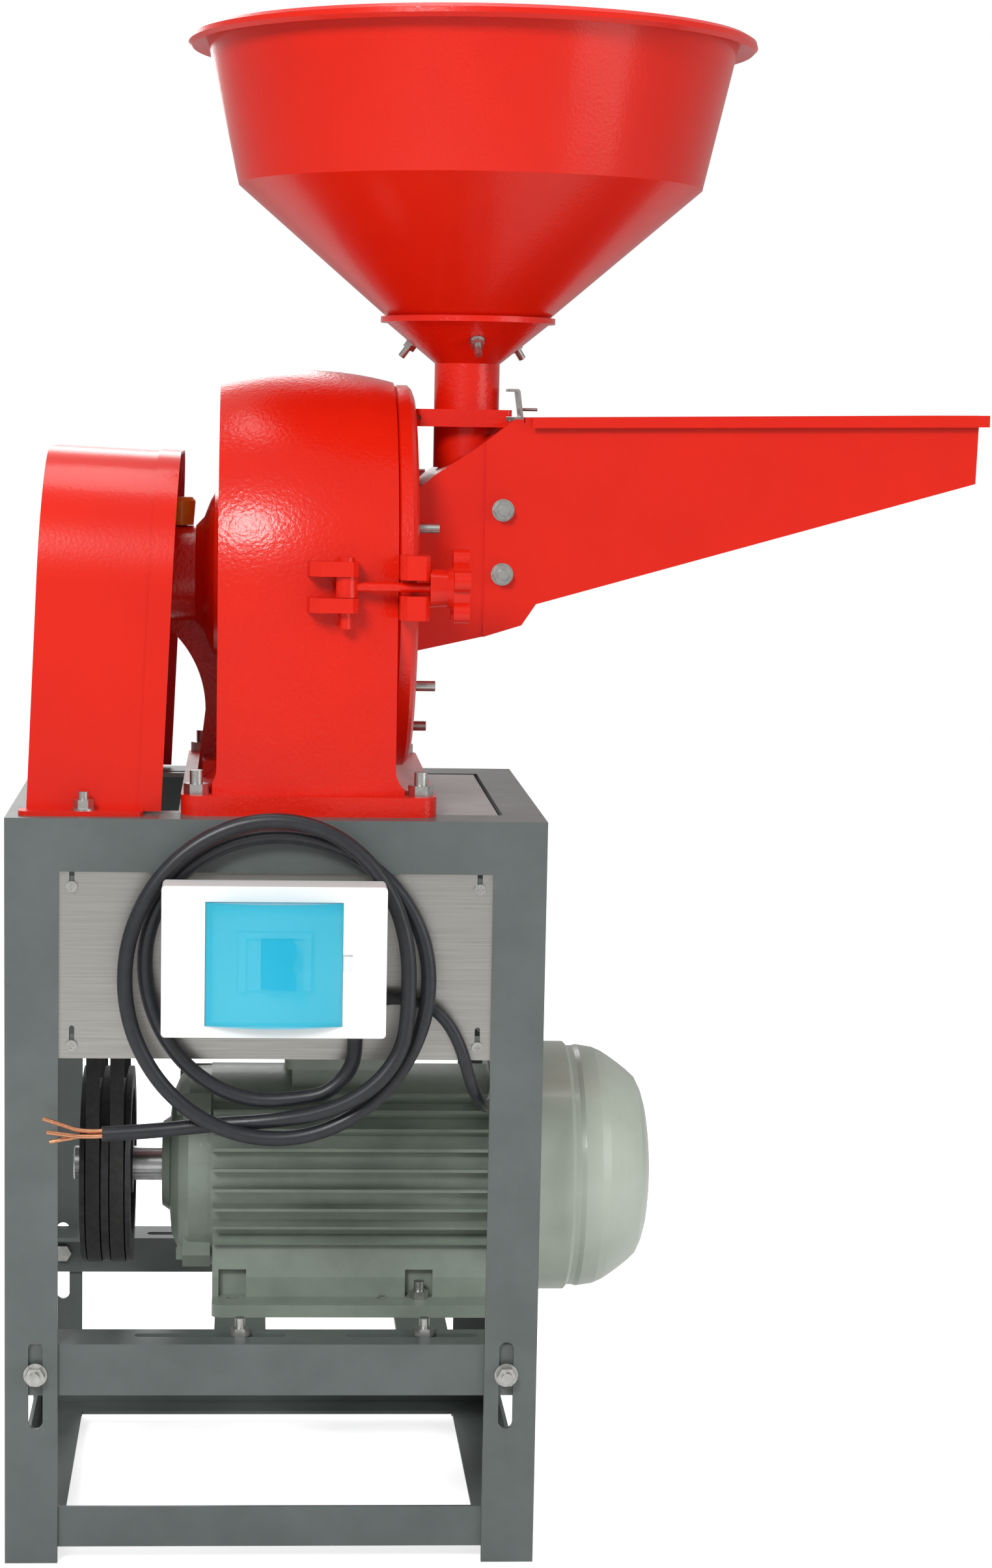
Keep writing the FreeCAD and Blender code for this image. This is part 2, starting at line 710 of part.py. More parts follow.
def mill_housing():
    """A crowned D-shaped casting on a flange, hollow, open towards the cover and downwards."""
    middle = (HOUSING_X0 + HOUSING_X1) / 2

    def crowned(radius, x0, x1, crown, z_low):
        """The D shape: half a barrel over straight walls."""
        left = V(x0, 0, radius)
        top = V(middle, 0, radius + crown)
        right = V(x1, 0, radius)
        outline = [
            Part.LineSegment(V(x0, 0, 0), left).toShape(),
            angle_arc(left, top, right),
            Part.LineSegment(right, V(x1, 0, 0)).toShape(),
            Part.LineSegment(V(x1, 0, 0), V(x0, 0, 0)).toShape(),
        ]
        face = Part.Face(Part.Wire(outline))
        half = face.revolve(V(0, 0, 0), V(1, 0, 0), 90)
        quarter = half.fuse(half.mirror(V(0, 0, 0), V(0, 1, 0)))
        quarter.translate(V(0, AXIS_Y, SPINDLE_Z))
        plan = [
            angle_arc(
                V(x0, AXIS_Y - radius, z_low),
                V(middle, AXIS_Y - radius - crown, z_low),
                V(x1, AXIS_Y - radius, z_low),
            ),
            Part.LineSegment(V(x1, AXIS_Y - radius, z_low), V(x1, AXIS_Y + radius, z_low)).toShape(),
            angle_arc(
                V(x1, AXIS_Y + radius, z_low),
                V(middle, AXIS_Y + radius + crown, z_low),
                V(x0, AXIS_Y + radius, z_low),
            ),
            Part.LineSegment(V(x0, AXIS_Y + radius, z_low), V(x0, AXIS_Y - radius, z_low)).toShape(),
        ]
        walls = Part.Face(Part.Wire(plan)).extrude(V(0, 0, SPINDLE_Z - z_low))
        return quarter.fuse(walls).removeSplitter()

    flange_top = DECK_Z + BASE_H
    body = crowned(HOUSING_R, HOUSING_X0, HOUSING_X1, HOUSING_CROWN, flange_top)
    inside_x1 = HOUSING_X1 - MOUTH_DEPTH
    inside = crowned(
        HOUSING_R - HOUSING_WALL,
        HOUSING_X0 + HOUSING_BACK_WALL,
        inside_x1,
        HOUSING_CROWN,
        flange_top,
    )
    flange = soft_box(BASE_X0, BASE_X1, BASE_Y0, BASE_Y1, DECK_Z, flange_top, BASE_CORNER_R)
    shape = joined([body, flange] + base_fillets() + latch_fins() + hinge_leaves(False))
    x0, x1, y0, y1 = OUTLET_OPENING
    tools = [
        inside,
        rod_x(inside_x1 - 1, HOUSING_X1 + 1, AXIS_Y, SPINDLE_Z, CHAMBER_R),
        box(x0, x1, y0, y1, DECK_Z - 1, flange_top + 1),
        rod_x(HOUSING_X0 - 1, HOUSING_X0 + HOUSING_BACK_WALL + 1, AXIS_Y, SPINDLE_Z, BEARING_R),
    ]
    tools += [rod_z(x, y, DECK_Z - 1, flange_top + 1, M10_R + HOLE_GAP) for x, y in base_bolt_places()]
    return cut_all(shape, tools)


def base_fillets():
    """Hollow fillets between the housing's end faces and its flange, clear of web and cover."""
    r = BASE_FILLET_R
    low = DECK_Z + BASE_H - 1
    strips = []
    for x, way in ((HOUSING_X0, -1), (HOUSING_X1, 1)):
        foot = V(x + way * r, 0, low + 1)
        top = V(x, 0, low + 1 + r)
        middle = V(x + way * r * (1 - math.sqrt(0.5)), 0, low + 1 + r * (1 - math.sqrt(0.5)))
        edges = [
            angle_arc(foot, middle, top),
            Part.LineSegment(top, V(x - way, 0, low + 1 + r)).toShape(),
            Part.LineSegment(V(x - way, 0, low + 1 + r), V(x - way, 0, low)).toShape(),
            Part.LineSegment(V(x - way, 0, low), V(x + way * r, 0, low)).toShape(),
            Part.LineSegment(V(x + way * r, 0, low), foot).toShape(),
        ]
        face = Part.Face(Part.Wire(edges))
        strip = face.extrude(V(0, 2 * HOUSING_R, 0))
        strip.translate(V(0, AXIS_Y - HOUSING_R, 0))
        strips.append(strip)
    for x, y in base_bolt_places():
        strips = [strip.cut(rod_z(x, y, low + 1, low + 60, M10_R * 2.4)) for strip in strips]
    web = box(HOUSING_X0 - r - 1, HOUSING_X0, AXIS_Y - 54, AXIS_Y + 54, low + 1, low + 60)
    cover = rod_x(HOUSING_X1, HOUSING_X1 + r + 1, AXIS_Y, SPINDLE_Z, COVER_R + 2)
    return [strips[0].cut(web), strips[1].cut(cover)]


def latch_fins():
    """Two fins on the housing's front that carry the swing bolt's pin."""
    fins = []
    for side in (-1, 1):
        z = SPINDLE_Z + side * (FIN_GAP + FIN_T) / 2
        outline = [(FIN_X0, AXIS_Y - HOUSING_R + 8), (FIN_X0 + 4, FIN_Y0 + 4), (FIN_X0 + 12, FIN_Y0)]
        outline += [(FIN_X1 - 4, FIN_Y0), (FIN_X1, FIN_Y0 + 4), (FIN_X1, AXIS_Y - HOUSING_R + 8)]
        fin = prism_xy(outline, z - FIN_T / 2, z + FIN_T / 2)
        fins.append(fin.cut(rod_z(LATCH_PIN_X, LATCH_Y, z - FIN_T, z + FIN_T, LATCH_PIN_R)))
    return fins


def hinge_leaves(on_cover):
    """Knuckles round the hinge pin: the outer pair is on the housing, the inner on the cover."""
    leaves = []
    for z in HINGE_Z:
        low = z - HINGE_LEAF_H / 2
        if on_cover:
            z0 = low + HINGE_LEAF_H / 3 + SIDE_GAP
            z1 = low + 2 * HINGE_LEAF_H / 3 - SIDE_GAP
            arm = box(HOUSING_X1 + 1, HINGE_X + 4, AXIS_Y + 120, HINGE_Y, z0, z1)
            hole = HINGE_PIN_R + RUN_GAP
            leaves.append(joined([rod_z(HINGE_X, HINGE_Y, z0, z1, HINGE_EYE_R - 1), arm]).cut(
                rod_z(HINGE_X, HINGE_Y, z0 - 1, z1 + 1, hole)))
            continue
        for z0 in (low, low + 2 * HINGE_LEAF_H / 3):
            z1 = z0 + HINGE_LEAF_H / 3
            arm = prism_xy(
                [
                    (HOUSING_X1 - 30, AXIS_Y + 128),
                    (HOUSING_X1, AXIS_Y + 128),
                    (HOUSING_X1, HINGE_Y - 12),
                    (HINGE_X, HINGE_Y - 9),
                    (HINGE_X, HINGE_Y + HINGE_EYE_R - 1),
                ],
                z0,
                z1,
            )
            knuckle = joined([rod_z(HINGE_X, HINGE_Y, z0, z1, HINGE_EYE_R), arm])
            leaves.append(knuckle.cut(rod_z(HINGE_X, HINGE_Y, z0 - 1, z1 + 1, HINGE_PIN_R)))
    return leaves


def hinge_pins():
    pins = []
    for z in HINGE_Z:
        half = HINGE_LEAF_H / 2
        pin = rod_z(HINGE_X, HINGE_Y, z - half, z + half, HINGE_PIN_R)
        head = rod_z(HINGE_X, HINGE_Y, z + half, z + half + 3, HINGE_PIN_R + 2.5)
        pins.append(joined([pin, head]))
    return group(pins)


def mill_base_bolts():
    bolts = []
    flange_top = DECK_Z + BASE_H
    for x, y in base_bolt_places():
        low = DECK_Z - LEG_T
        bolts.append(bolt((x, y, low), (0, 0, 1), M10_R, flange_top - low, BASE_BOLT_TOP))
    return group(bolts)


def bearing_housing():
    """The tube of the two spindle bearings, flared to the mill, on a curved web to the base."""
    tube = turned(
        [
            (BEARING_TUBE_X0, BEARING_TUBE_R - 3),
            (BEARING_TUBE_X0 + 3, BEARING_TUBE_R),
            (BEARING_FLARE_X - 6.5, BEARING_TUBE_R),
            (BEARING_FLARE_X, BEARING_TUBE_R + 7),
            (BEARING_FLARE_X + 5, BEARING_FLARE_R - 6),
            (BEARING_FLARE_X + 8.5, BEARING_FLARE_R),
            (HOUSING_X0, BEARING_FLARE_R + 2),
        ],
        AXIS_Y,
        SPINDLE_Z,
    )
    foot_z = DECK_Z + BASE_H
    web_edge = [
        Part.LineSegment(
            V(BEARING_TUBE_X0 + 4, 0, SPINDLE_Z),
            V(BEARING_TUBE_X0 + 4, 0, SPINDLE_Z - WEB_DROP[0]),
        ).toShape(),
        angle_arc(
            V(BEARING_TUBE_X0 + 4, 0, SPINDLE_Z - WEB_DROP[0]),
            V(137, 0, SPINDLE_Z - WEB_DROP[1]),
            V(146, 0, SPINDLE_Z - WEB_DROP[2]),
        ),
        Part.LineSegment(V(146, 0, SPINDLE_Z - WEB_DROP[2]), V(140, 0, foot_z)).toShape(),
        Part.LineSegment(V(140, 0, foot_z), V(HOUSING_X0, 0, foot_z)).toShape(),
        Part.LineSegment(V(HOUSING_X0, 0, foot_z), V(HOUSING_X0, 0, SPINDLE_Z)).toShape(),
        Part.LineSegment(V(HOUSING_X0, 0, SPINDLE_Z), V(BEARING_TUBE_X0 + 4, 0, SPINDLE_Z)).toShape(),
    ]
    web = Part.Face(Part.Wire(web_edge)).extrude(V(0, WEB_T, 0))
    web.translate(V(0, AXIS_Y - WEB_T / 2, 0))
    rib = box(HOUSING_X0 - 12, HOUSING_X0, AXIS_Y - 52, AXIS_Y + 52, foot_z, foot_z + 14)
    stem_top = OIL_CAP_Z0 + OIL_CAP_H - OIL_CAP_WALL - 4
    stem = rod_z(OIL_X, AXIS_Y, SPINDLE_Z + BEARING_R, stem_top, OIL_STEM_R)
    oil_hole = rod_z(OIL_X, AXIS_Y, SPINDLE_Z, stem_top + 1, OIL_STEM_R - 2.5)
    bore = rod_x(BEARING_TUBE_X0 - 1, HOUSING_X0 + 1, AXIS_Y, SPINDLE_Z, BEARING_R)
    return cut_all(joined([tube, web, rib, stem]), [bore, oil_hole])


def bearing_caps():
    """The outer bearing cover with its four screws, and the seal plate inside the housing."""
    x0 = BEARING_TUBE_X0 - CAP_T
    cap = ring_x(x0, BEARING_TUBE_X0, AXIS_Y, SPINDLE_Z, CAP_R, SPINDLE_R + 1)
    heads = []
    for k in range(4):
        angle = math.radians(45 + 90 * k)
        y = AXIS_Y + 30 * math.cos(angle)
        z = SPINDLE_Z + 30 * math.sin(angle)
        heads.append(hexagon(V(x0, y, z), V(-1, 0, 0), 7, 3))
    outer = joined([cap] + heads)
    inner_x = HOUSING_X0 + HOUSING_BACK_WALL
    inner = ring_x(inner_x, inner_x + CAP_T, AXIS_Y, SPINDLE_Z, CAP_R, SPINDLE_R + 1)
    return group([outer, inner])


def spindle_bearings():
    rings = []
    for x in BEARING_X:
        ring = ring_x(x, x + BEARING_W, AXIS_Y, SPINDLE_Z, BEARING_R, SPINDLE_R + RUN_GAP)
        groove = ring_x(x - 1, x + 1, AXIS_Y, SPINDLE_Z, BEARING_R - 4, SPINDLE_R + 4)
        rings.append(ring.cut(groove))
    return group(rings)


def oil_cap():
    z1 = OIL_CAP_Z0 + OIL_CAP_H
    outline = [
        (0, OIL_CAP_Z0),
        (OIL_CAP_R - 1.5, OIL_CAP_Z0),
        (OIL_CAP_R, z1 - 3),
        (OIL_CAP_R - 2.5, z1),
        (0, z1),
    ]
    cap = turned_z(outline, OIL_X, AXIS_Y)
    bore = rod_z(OIL_X, AXIS_Y, OIL_CAP_Z0 - 1, z1 - OIL_CAP_WALL, OIL_STEM_R + RUN_GAP)
    return cap.cut(bore)


# Rotor, sieve and cover


def spindle():
    """The stepped spindle with its key, from the pulley to the claw disc's nut."""
    end_x = DISC_X0 + DISC_T
    shaft = turned(
        [
            (PULLEY_X0 - 6, SPINDLE_R - 2),
            (PULLEY_X0 - 5, SPINDLE_R - 1),
            (end_x + 4, SPINDLE_R - 1),
            (end_x + 18, SPINDLE_R - 3),
        ],
        AXIS_Y,
        SPINDLE_Z,
    )
    journal = rod_x(BEARING_TUBE_X0 - 8, HOUSING_X0 + 16, AXIS_Y, SPINDLE_Z, SPINDLE_R)
    nut = hexagon(V(end_x, AXIS_Y, SPINDLE_Z), V(1, 0, 0), 36, 12)
    return joined([shaft, journal, nut])


def grooved_pulley(r, bore_r, axis_z):
    """A V-belt pulley with a groove for each belt, its middle at PULLEY_MID_X."""
    wheel = rod_x(PULLEY_X0, PULLEY_X0 + PULLEY_W, AXIS_Y, axis_z, r)
    tools = [rod_x(PULLEY_X0 - 1, PULLEY_X0 + PULLEY_W + 1, AXIS_Y, axis_z, bore_r)]
    for x in belt_middles():
        top = BELT_TOP_W / 2
        low = BELT_BOTTOM_W / 2
        outline = [V(x - top, AXIS_Y, axis_z + r + 0.01), V(x + top, AXIS_Y, axis_z + r + 0.01)]
        outline += [V(x + low, AXIS_Y, axis_z + r - BELT_H - 2), V(x - low, AXIS_Y, axis_z + r - BELT_H - 2)]
        groove = Part.Face(Part.makePolygon(outline + [outline[0]]))
        tools.append(groove.revolve(V(0, AXIS_Y, axis_z), V(1, 0, 0), 360))
    recess_r0 = bore_r + 10
    recess_r1 = r - BELT_H - 10
    if recess_r1 > recess_r0 + 6:
        for x0 in (PULLEY_X0 - 1, PULLEY_X0 + PULLEY_W - 9):
            tools.append(ring_x(x0, x0 + 10, AXIS_Y, axis_z, recess_r1, recess_r0))
    return cut_all(wheel, tools)


def belt_middles():
    first = PULLEY_MID_X - BELT_PITCH * (BELT_COUNT - 1) / 2
    return [first + BELT_PITCH * k for k in range(BELT_COUNT)]


def belt_loop(x, r_low, r_high, layer_widths):
    """One V belt round both pulleys, as a narrow inner layer and a wider outer one."""
    span = SPINDLE_Z - MOTOR_Z

    def loop_face(at_x, grow):
        a = r_low + grow
        b = r_high + grow
        tilt = math.asin((a - b) / span)
        ca, sa = math.cos(tilt), math.sin(tilt)
        low_c = V(at_x, AXIS_Y, MOTOR_Z)
        high_c = V(at_x, AXIS_Y, SPINDLE_Z)
        p1 = low_c + V(0, a * ca, a * sa)
        p2 = high_c + V(0, b * ca, b * sa)
        p3 = high_c + V(0, -b * ca, b * sa)
        p4 = low_c + V(0, -a * ca, a * sa)
        edges = [
            Part.LineSegment(p1, p2).toShape(),
            angle_arc(p2, high_c + V(0, 0, b), p3),
            Part.LineSegment(p3, p4).toShape(),
            angle_arc(p4, low_c + V(0, 0, -a), p1),
        ]
        return Part.Face(Part.Wire(edges))

    layers = []
    layer_h = BELT_H / len(layer_widths)
    for k, width in enumerate(layer_widths):
        outer = loop_face(x - width / 2, layer_h * (k + 1)).extrude(V(width, 0, 0))
        inner = loop_face(x - width / 2 - 1, layer_h * k).extrude(V(width + 2, 0, 0))
        layers.append(outer.cut(inner))
    return joined(layers)


def v_belts():
    """Both belts: their backs stand level with the pulleys' rims."""
    loops = []
    for x in belt_middles():
        loops.append(
            belt_loop(
                x,
                MOTOR_PULLEY_R - BELT_H + BELT_PROUD,
                SPINDLE_PULLEY_R - BELT_H + BELT_PROUD,
                BELT_LAYERS,
            )
        )
    return group(loops)


def claws(rings, x0, x1, phase):
    """Round pins on pitch circles, each a little tapered."""
    pins = []
    for ring_r, count in rings:
        for k in range(count):
            angle = 2 * math.pi * (k + phase) / count
            y = AXIS_Y + ring_r * math.cos(angle)
            z = SPINDLE_Z + ring_r * math.sin(angle)
            start, end = V(x0, y, z), V(x1, y, z)
            way = (end - start).normalize()
            pins.append(Part.makeCone(CLAW_R, CLAW_R - 1.2, (end - start).Length, start, way))
    return pins


def claw_disc():
    x1 = DISC_X0 + DISC_T
    disc = turned(
        [(DISC_X0, DISC_R - 2), (DISC_X0 + 2, DISC_R), (x1 - 2, DISC_R), (x1, DISC_R - 2)],
        AXIS_Y,
        SPINDLE_Z,
    )
    hub = rod_x(DISC_X0 - 12, DISC_X0, AXIS_Y, SPINDLE_Z, 26)
    shape = joined([disc, hub] + claws(ROTOR_CLAW_RINGS, x1 - 1, x1 + ROTOR_CLAW_L, 0))
    return shape.cut(rod_x(DISC_X0 - 20, x1 + 1, AXIS_Y, SPINDLE_Z, SPINDLE_R - 1))


def fixed_claw_disc():
    """The cover's toothed disc, whose claws stand between the rotor's rings."""
    x1 = HOUSING_X1
    x0 = x1 - FIXED_DISC_T
    ring = ring_x(x0, x1, AXIS_Y, SPINDLE_Z, FIXED_DISC_R, INLET_R)
    return joined([ring] + claws(FIXED_CLAW_RINGS, x0 + 1, x0 - FIXED_CLAW_L, 0.5))


def ring_sieve():
    """A perforated ring round the claws, between the housing's back wall and its mouth."""
    x0 = HOUSING_X0 + HOUSING_BACK_WALL + 12
    x1 = HOUSING_X1 - 2
    ring = ring_x(x0, x1, AXIS_Y, SPINDLE_Z, SIEVE_R, SIEVE_R - SIEVE_T)
    rims = [ring_x(x, x + 5, AXIS_Y, SPINDLE_Z, CHAMBER_R - SIDE_GAP, SIEVE_R - SIEVE_T) for x in (x1 - 5,)]
    drills = []
    for row in range(SIEVE_ROWS):
        x = x0 + (x1 - x0 - 5) * (row + 1) / (SIEVE_ROWS + 1)
        for k in range(SIEVE_HOLES // 2):
            drill = rod_z(x, AXIS_Y, SPINDLE_Z - SIEVE_R - 5, SPINDLE_Z + SIEVE_R + 5, SIEVE_HOLE_R)
            drill.rotate(V(x, AXIS_Y, SPINDLE_Z), V(1, 0, 0), 360.0 * (k + 0.5 * (row % 2)) / SIEVE_HOLES)
            drills.append(drill)
    return joined([ring] + rims).cut(drills)


def mill_cover():
    """The hinged front cover: a rimmed disc with its inlet, fork ears and hinge eyes."""
    gap = SIDE_GAP
    disc = turned(
        [
            (HOUSING_X1 + gap, COVER_R - 2),
            (HOUSING_X1 + gap + 2, COVER_R),
            (COVER_X1 - 5, COVER_R),
            (COVER_X1 - 2, COVER_R - 3),
            (COVER_X1, COVER_R - 8),
        ],
        AXIS_Y,
        SPINDLE_Z,
    )
    dish = rod_x(HOUSING_X1 + COVER_T, COVER_X1 + 1, AXIS_Y, SPINDLE_Z, COVER_RIM_R)
    seat = rod_x(HOUSING_X1, COVER_X1, AXIS_Y, SPINDLE_Z, 76)
    ribs = []
    for angle in RIB_ANGLES:
        rib = box(
            HOUSING_X1 + 2,
            COVER_X1 - 3,
            AXIS_Y - 4,
            AXIS_Y + 4,
            SPINDLE_Z + 70,
            SPINDLE_Z + COVER_RIM_R + 4,
        )
        rib.rotate(V(0, AXIS_Y, SPINDLE_Z), V(1, 0, 0), angle - 90)
        ribs.append(rib)
    shape = joined([disc.cut(dish), seat] + ribs + fork_ears() + hinge_leaves(True))
    trim = box(HOUSING_X1 - 1, HOUSING_X1 + gap, 0, STAND_D + 20, SPINDLE_Z - 200, SPINDLE_Z + 200)
    inlet = rod_x(HOUSING_X1 - 1, COVER_X1 + 1, AXIS_Y, SPINDLE_Z, INLET_R)
    return cut_all(shape, [inlet, trim])


def fork_ears():
    ears = []
    for side in (-1, 1):
        z0 = SPINDLE_Z + side * FORK_SLOT / 2
        z1 = z0 + side * FORK_EAR_H
        outline = [
            (HOUSING_X1 + SIDE_GAP, AXIS_Y - COVER_R + 14),
            (HOUSING_X1 + SIDE_GAP, FORK_Y0 + 5),
            (HOUSING_X1 + SIDE_GAP + 5, FORK_Y0),
            (FORK_X1 - 3, FORK_Y0),
            (FORK_X1, FORK_Y0 + 3),
            (FORK_X1, AXIS_Y - COVER_R + 14),
        ]
        ears.append(prism_xy(outline, min(z0, z1), max(z0, z1)))
    return ears


def cover_bolts():
    """Studs with nuts that hold the toothed disc, on the cover's outer side."""
    studs = []
    for degrees in STUD_ANGLES:
        angle = math.radians(degrees)
        y = AXIS_Y + STUD_CIRCLE_R * math.cos(angle)
        z = SPINDLE_Z + STUD_CIRCLE_R * math.sin(angle)
        x = HOUSING_X1 + COVER_T
        nut = hexagon(V(x, y, z), V(1, 0, 0), M8_FLATS, M8_NUT_H)
        studs.append(joined([nut, rod_x(x, x + STUD_L, y, z, M8_R)]))
    return group(studs)


# Feed box, tray, neck and hopper


def raised(points):
    """(x, z) points whose heights are given from the spindle's axis."""
    return [(x, SPINDLE_Z + z) for x, z in points]


def feed_outline():
    return raised(
        [
            (FEED_LEFT_X, -55.0),
            (363.0, -42.5),
            (FEED_RIGHT_X, -33.0),
            (FEED_RIGHT_X, 125.5),
            (384.0, 125.5),
            (353.5, 102.0),
            (323.0, 82.0),
            (FEED_LEFT_X, 69.0),
        ]
    )


def tray_bolt_holes():
    return [
        rod_y(TRAY_BOLT_X, FEED_Y0 - 10, FEED_Y1 + 10, z, M8_R + HOLE_GAP) for z in TRAY_BOLT_Z
    ]


def feed_box():
    """A sheet box that leads from the neck and the tray into the cover's inlet."""
    cheeks = []
    for y0 in (FEED_Y0, FEED_Y1 - SHEET):
        cheeks.append(prism_xz(feed_outline(), y0, y0 + SHEET))
    inner_y0 = FEED_Y0 + SHEET
    inner_y1 = FEED_Y1 - SHEET
    floor = prism_xz(
        raised(
            [
                (FEED_LEFT_X, -55.0),
                (363.0, -42.5),
                (FEED_RIGHT_X, -33.0),
                (FEED_RIGHT_X, -33.0 + SHEET),
                (363.0, -42.5 + SHEET),
                (FEED_LEFT_X, -55.0 + SHEET),
            ]
        ),
        inner_y0,
        inner_y1,
    )
    under = SHEET + 0.8
    roof = prism_xz(
        raised(
            [
                (FEED_LEFT_X, 69.0),
                (323.0, 82.0),
                (353.5, 102.0),
                (370.0, 114.0),
                (FEED_RIGHT_X, 114.0),
                (FEED_RIGHT_X, 114.0 - SHEET),
                (371.0, 114.0 - SHEET),
                (354.5, 102.0 - under),
                (324.0, 82.0 - under),
                (FEED_LEFT_X, 69.0 - under),
            ]
        ),
        inner_y0,
        inner_y1,
    )
    back_plate = box(FEED_LEFT_X, FEED_LEFT_X + SHEET, inner_y0, inner_y1, SPINDLE_Z - 55.0, SPINDLE_Z + 69.0)
    inlet = rod_x(FEED_LEFT_X - 1, FEED_LEFT_X + SHEET + 1, AXIS_Y, SPINDLE_Z, INLET_R)
    spout = rod_z(NECK_X, AXIS_Y, FLANGE_Z0 - 32.0, FLANGE_Z0, NECK_R)
    throat = rod_z(NECK_X, AXIS_Y, FLANGE_Z0 - 42.0, FLANGE_Z0 + 1, NECK_R - NECK_WALL)
    tools = [throat, inlet] + tray_bolt_holes()
    return cut_all(joined(cheeks + [floor, roof, back_plate, spout]), tools)


def inlet_neck():
    """Two flanges with the gate's slot between them, a short pipe and the hopper's funnel."""
    z0 = FLANGE_Z0
    z1 = z0 + FLANGE_T
    z2 = z1 + GATE_SLOT_H
    z3 = z2 + FLANGE_T
    y0 = AXIS_Y - FLANGE_HALF_Y
    y1 = AXIS_Y + FLANGE_HALF_Y
    plates = [
        soft_box(FLANGE_X0, FLANGE_X1, y0, y1, z0, z1, 5),
        soft_box(FLANGE_X0, FLANGE_X1, y0, y1, z2, z3, 5),
    ]
    strip_y = GATE_HALF_Y + SIDE_GAP
    strips = [
        box(FLANGE_X0 + 5, FLANGE_X1 - 5, y0, AXIS_Y - strip_y, z1, z2),
        box(FLANGE_X0 + 5, FLANGE_X1 - 5, AXIS_Y + strip_y, y1, z1, z2),
        box(FLANGE_X0, FLANGE_X0 + 6, y0 + 5, y1 - 5, z1, z2),
    ]
    wall = NECK_WALL
    funnel = turned_z(
        [
            (NECK_R - wall, z3 - 1),
            (NECK_R, z3 - 1),
            (NECK_R, FUNNEL_Z0),
            (FUNNEL_R1, FUNNEL_Z1),
            (COLLAR_R, FUNNEL_Z1),
            (COLLAR_R, FUNNEL_Z1 + COLLAR_T),
            (FUNNEL_R1 - wall, FUNNEL_Z1 + COLLAR_T),
            (FUNNEL_R1 - wall, FUNNEL_Z1),
            (NECK_R - wall, FUNNEL_Z0),
        ],
        NECK_X,
        AXIS_Y,
    )
    bore = rod_z(NECK_X, AXIS_Y, z0 - 1, z3 + 1, NECK_R - wall)
    return cut_all(joined(plates + strips + [funnel]), [bore])


def funnel_bolts():
    """Three small bolts round the funnel that hold the hopper's spigot."""
    bolts = []
    slope = math.atan2(FUNNEL_R1 - NECK_R, FUNNEL_Z1 - FUNNEL_Z0)
    r = (FUNNEL_R1 + NECK_R) / 2 + 2
    z = (FUNNEL_Z0 + FUNNEL_Z1) / 2 + 1.5
    for angle in (35.0, 155.0, 275.0):
        out = V(math.cos(slope), 0, -math.sin(slope))
        start = V(r, 0, z)
        washer = Part.makeCylinder(6.5, 1.2, start, out)
        nut = hexagon(start + out * 1.2, out, 10, 5)
        shank = Part.makeCylinder(3, 15, start, out)
        shape = joined([washer, nut, shank])
        shape.rotate(V(0, 0, 0), V(0, 0, 1), angle)
        shape.translate(V(NECK_X, AXIS_Y, 0))
        bolts.append(shape)
    return bolts


def tray_bolts():
    bolts = []
    for z in TRAY_BOLT_Z:
        y0 = FEED_Y0 + SHEET
        bolts.append(bolt((TRAY_BOLT_X, y0, z), (0, -1, 0), M8_R, SHEET + TRAY_SHEET, 11, 8.7))
        y1 = FEED_Y1 - SHEET
        bolts.append(bolt((TRAY_BOLT_X, y1, z), (0, 1, 0), M8_R, SHEET + TRAY_SHEET, 11, 8.7))
    return bolts


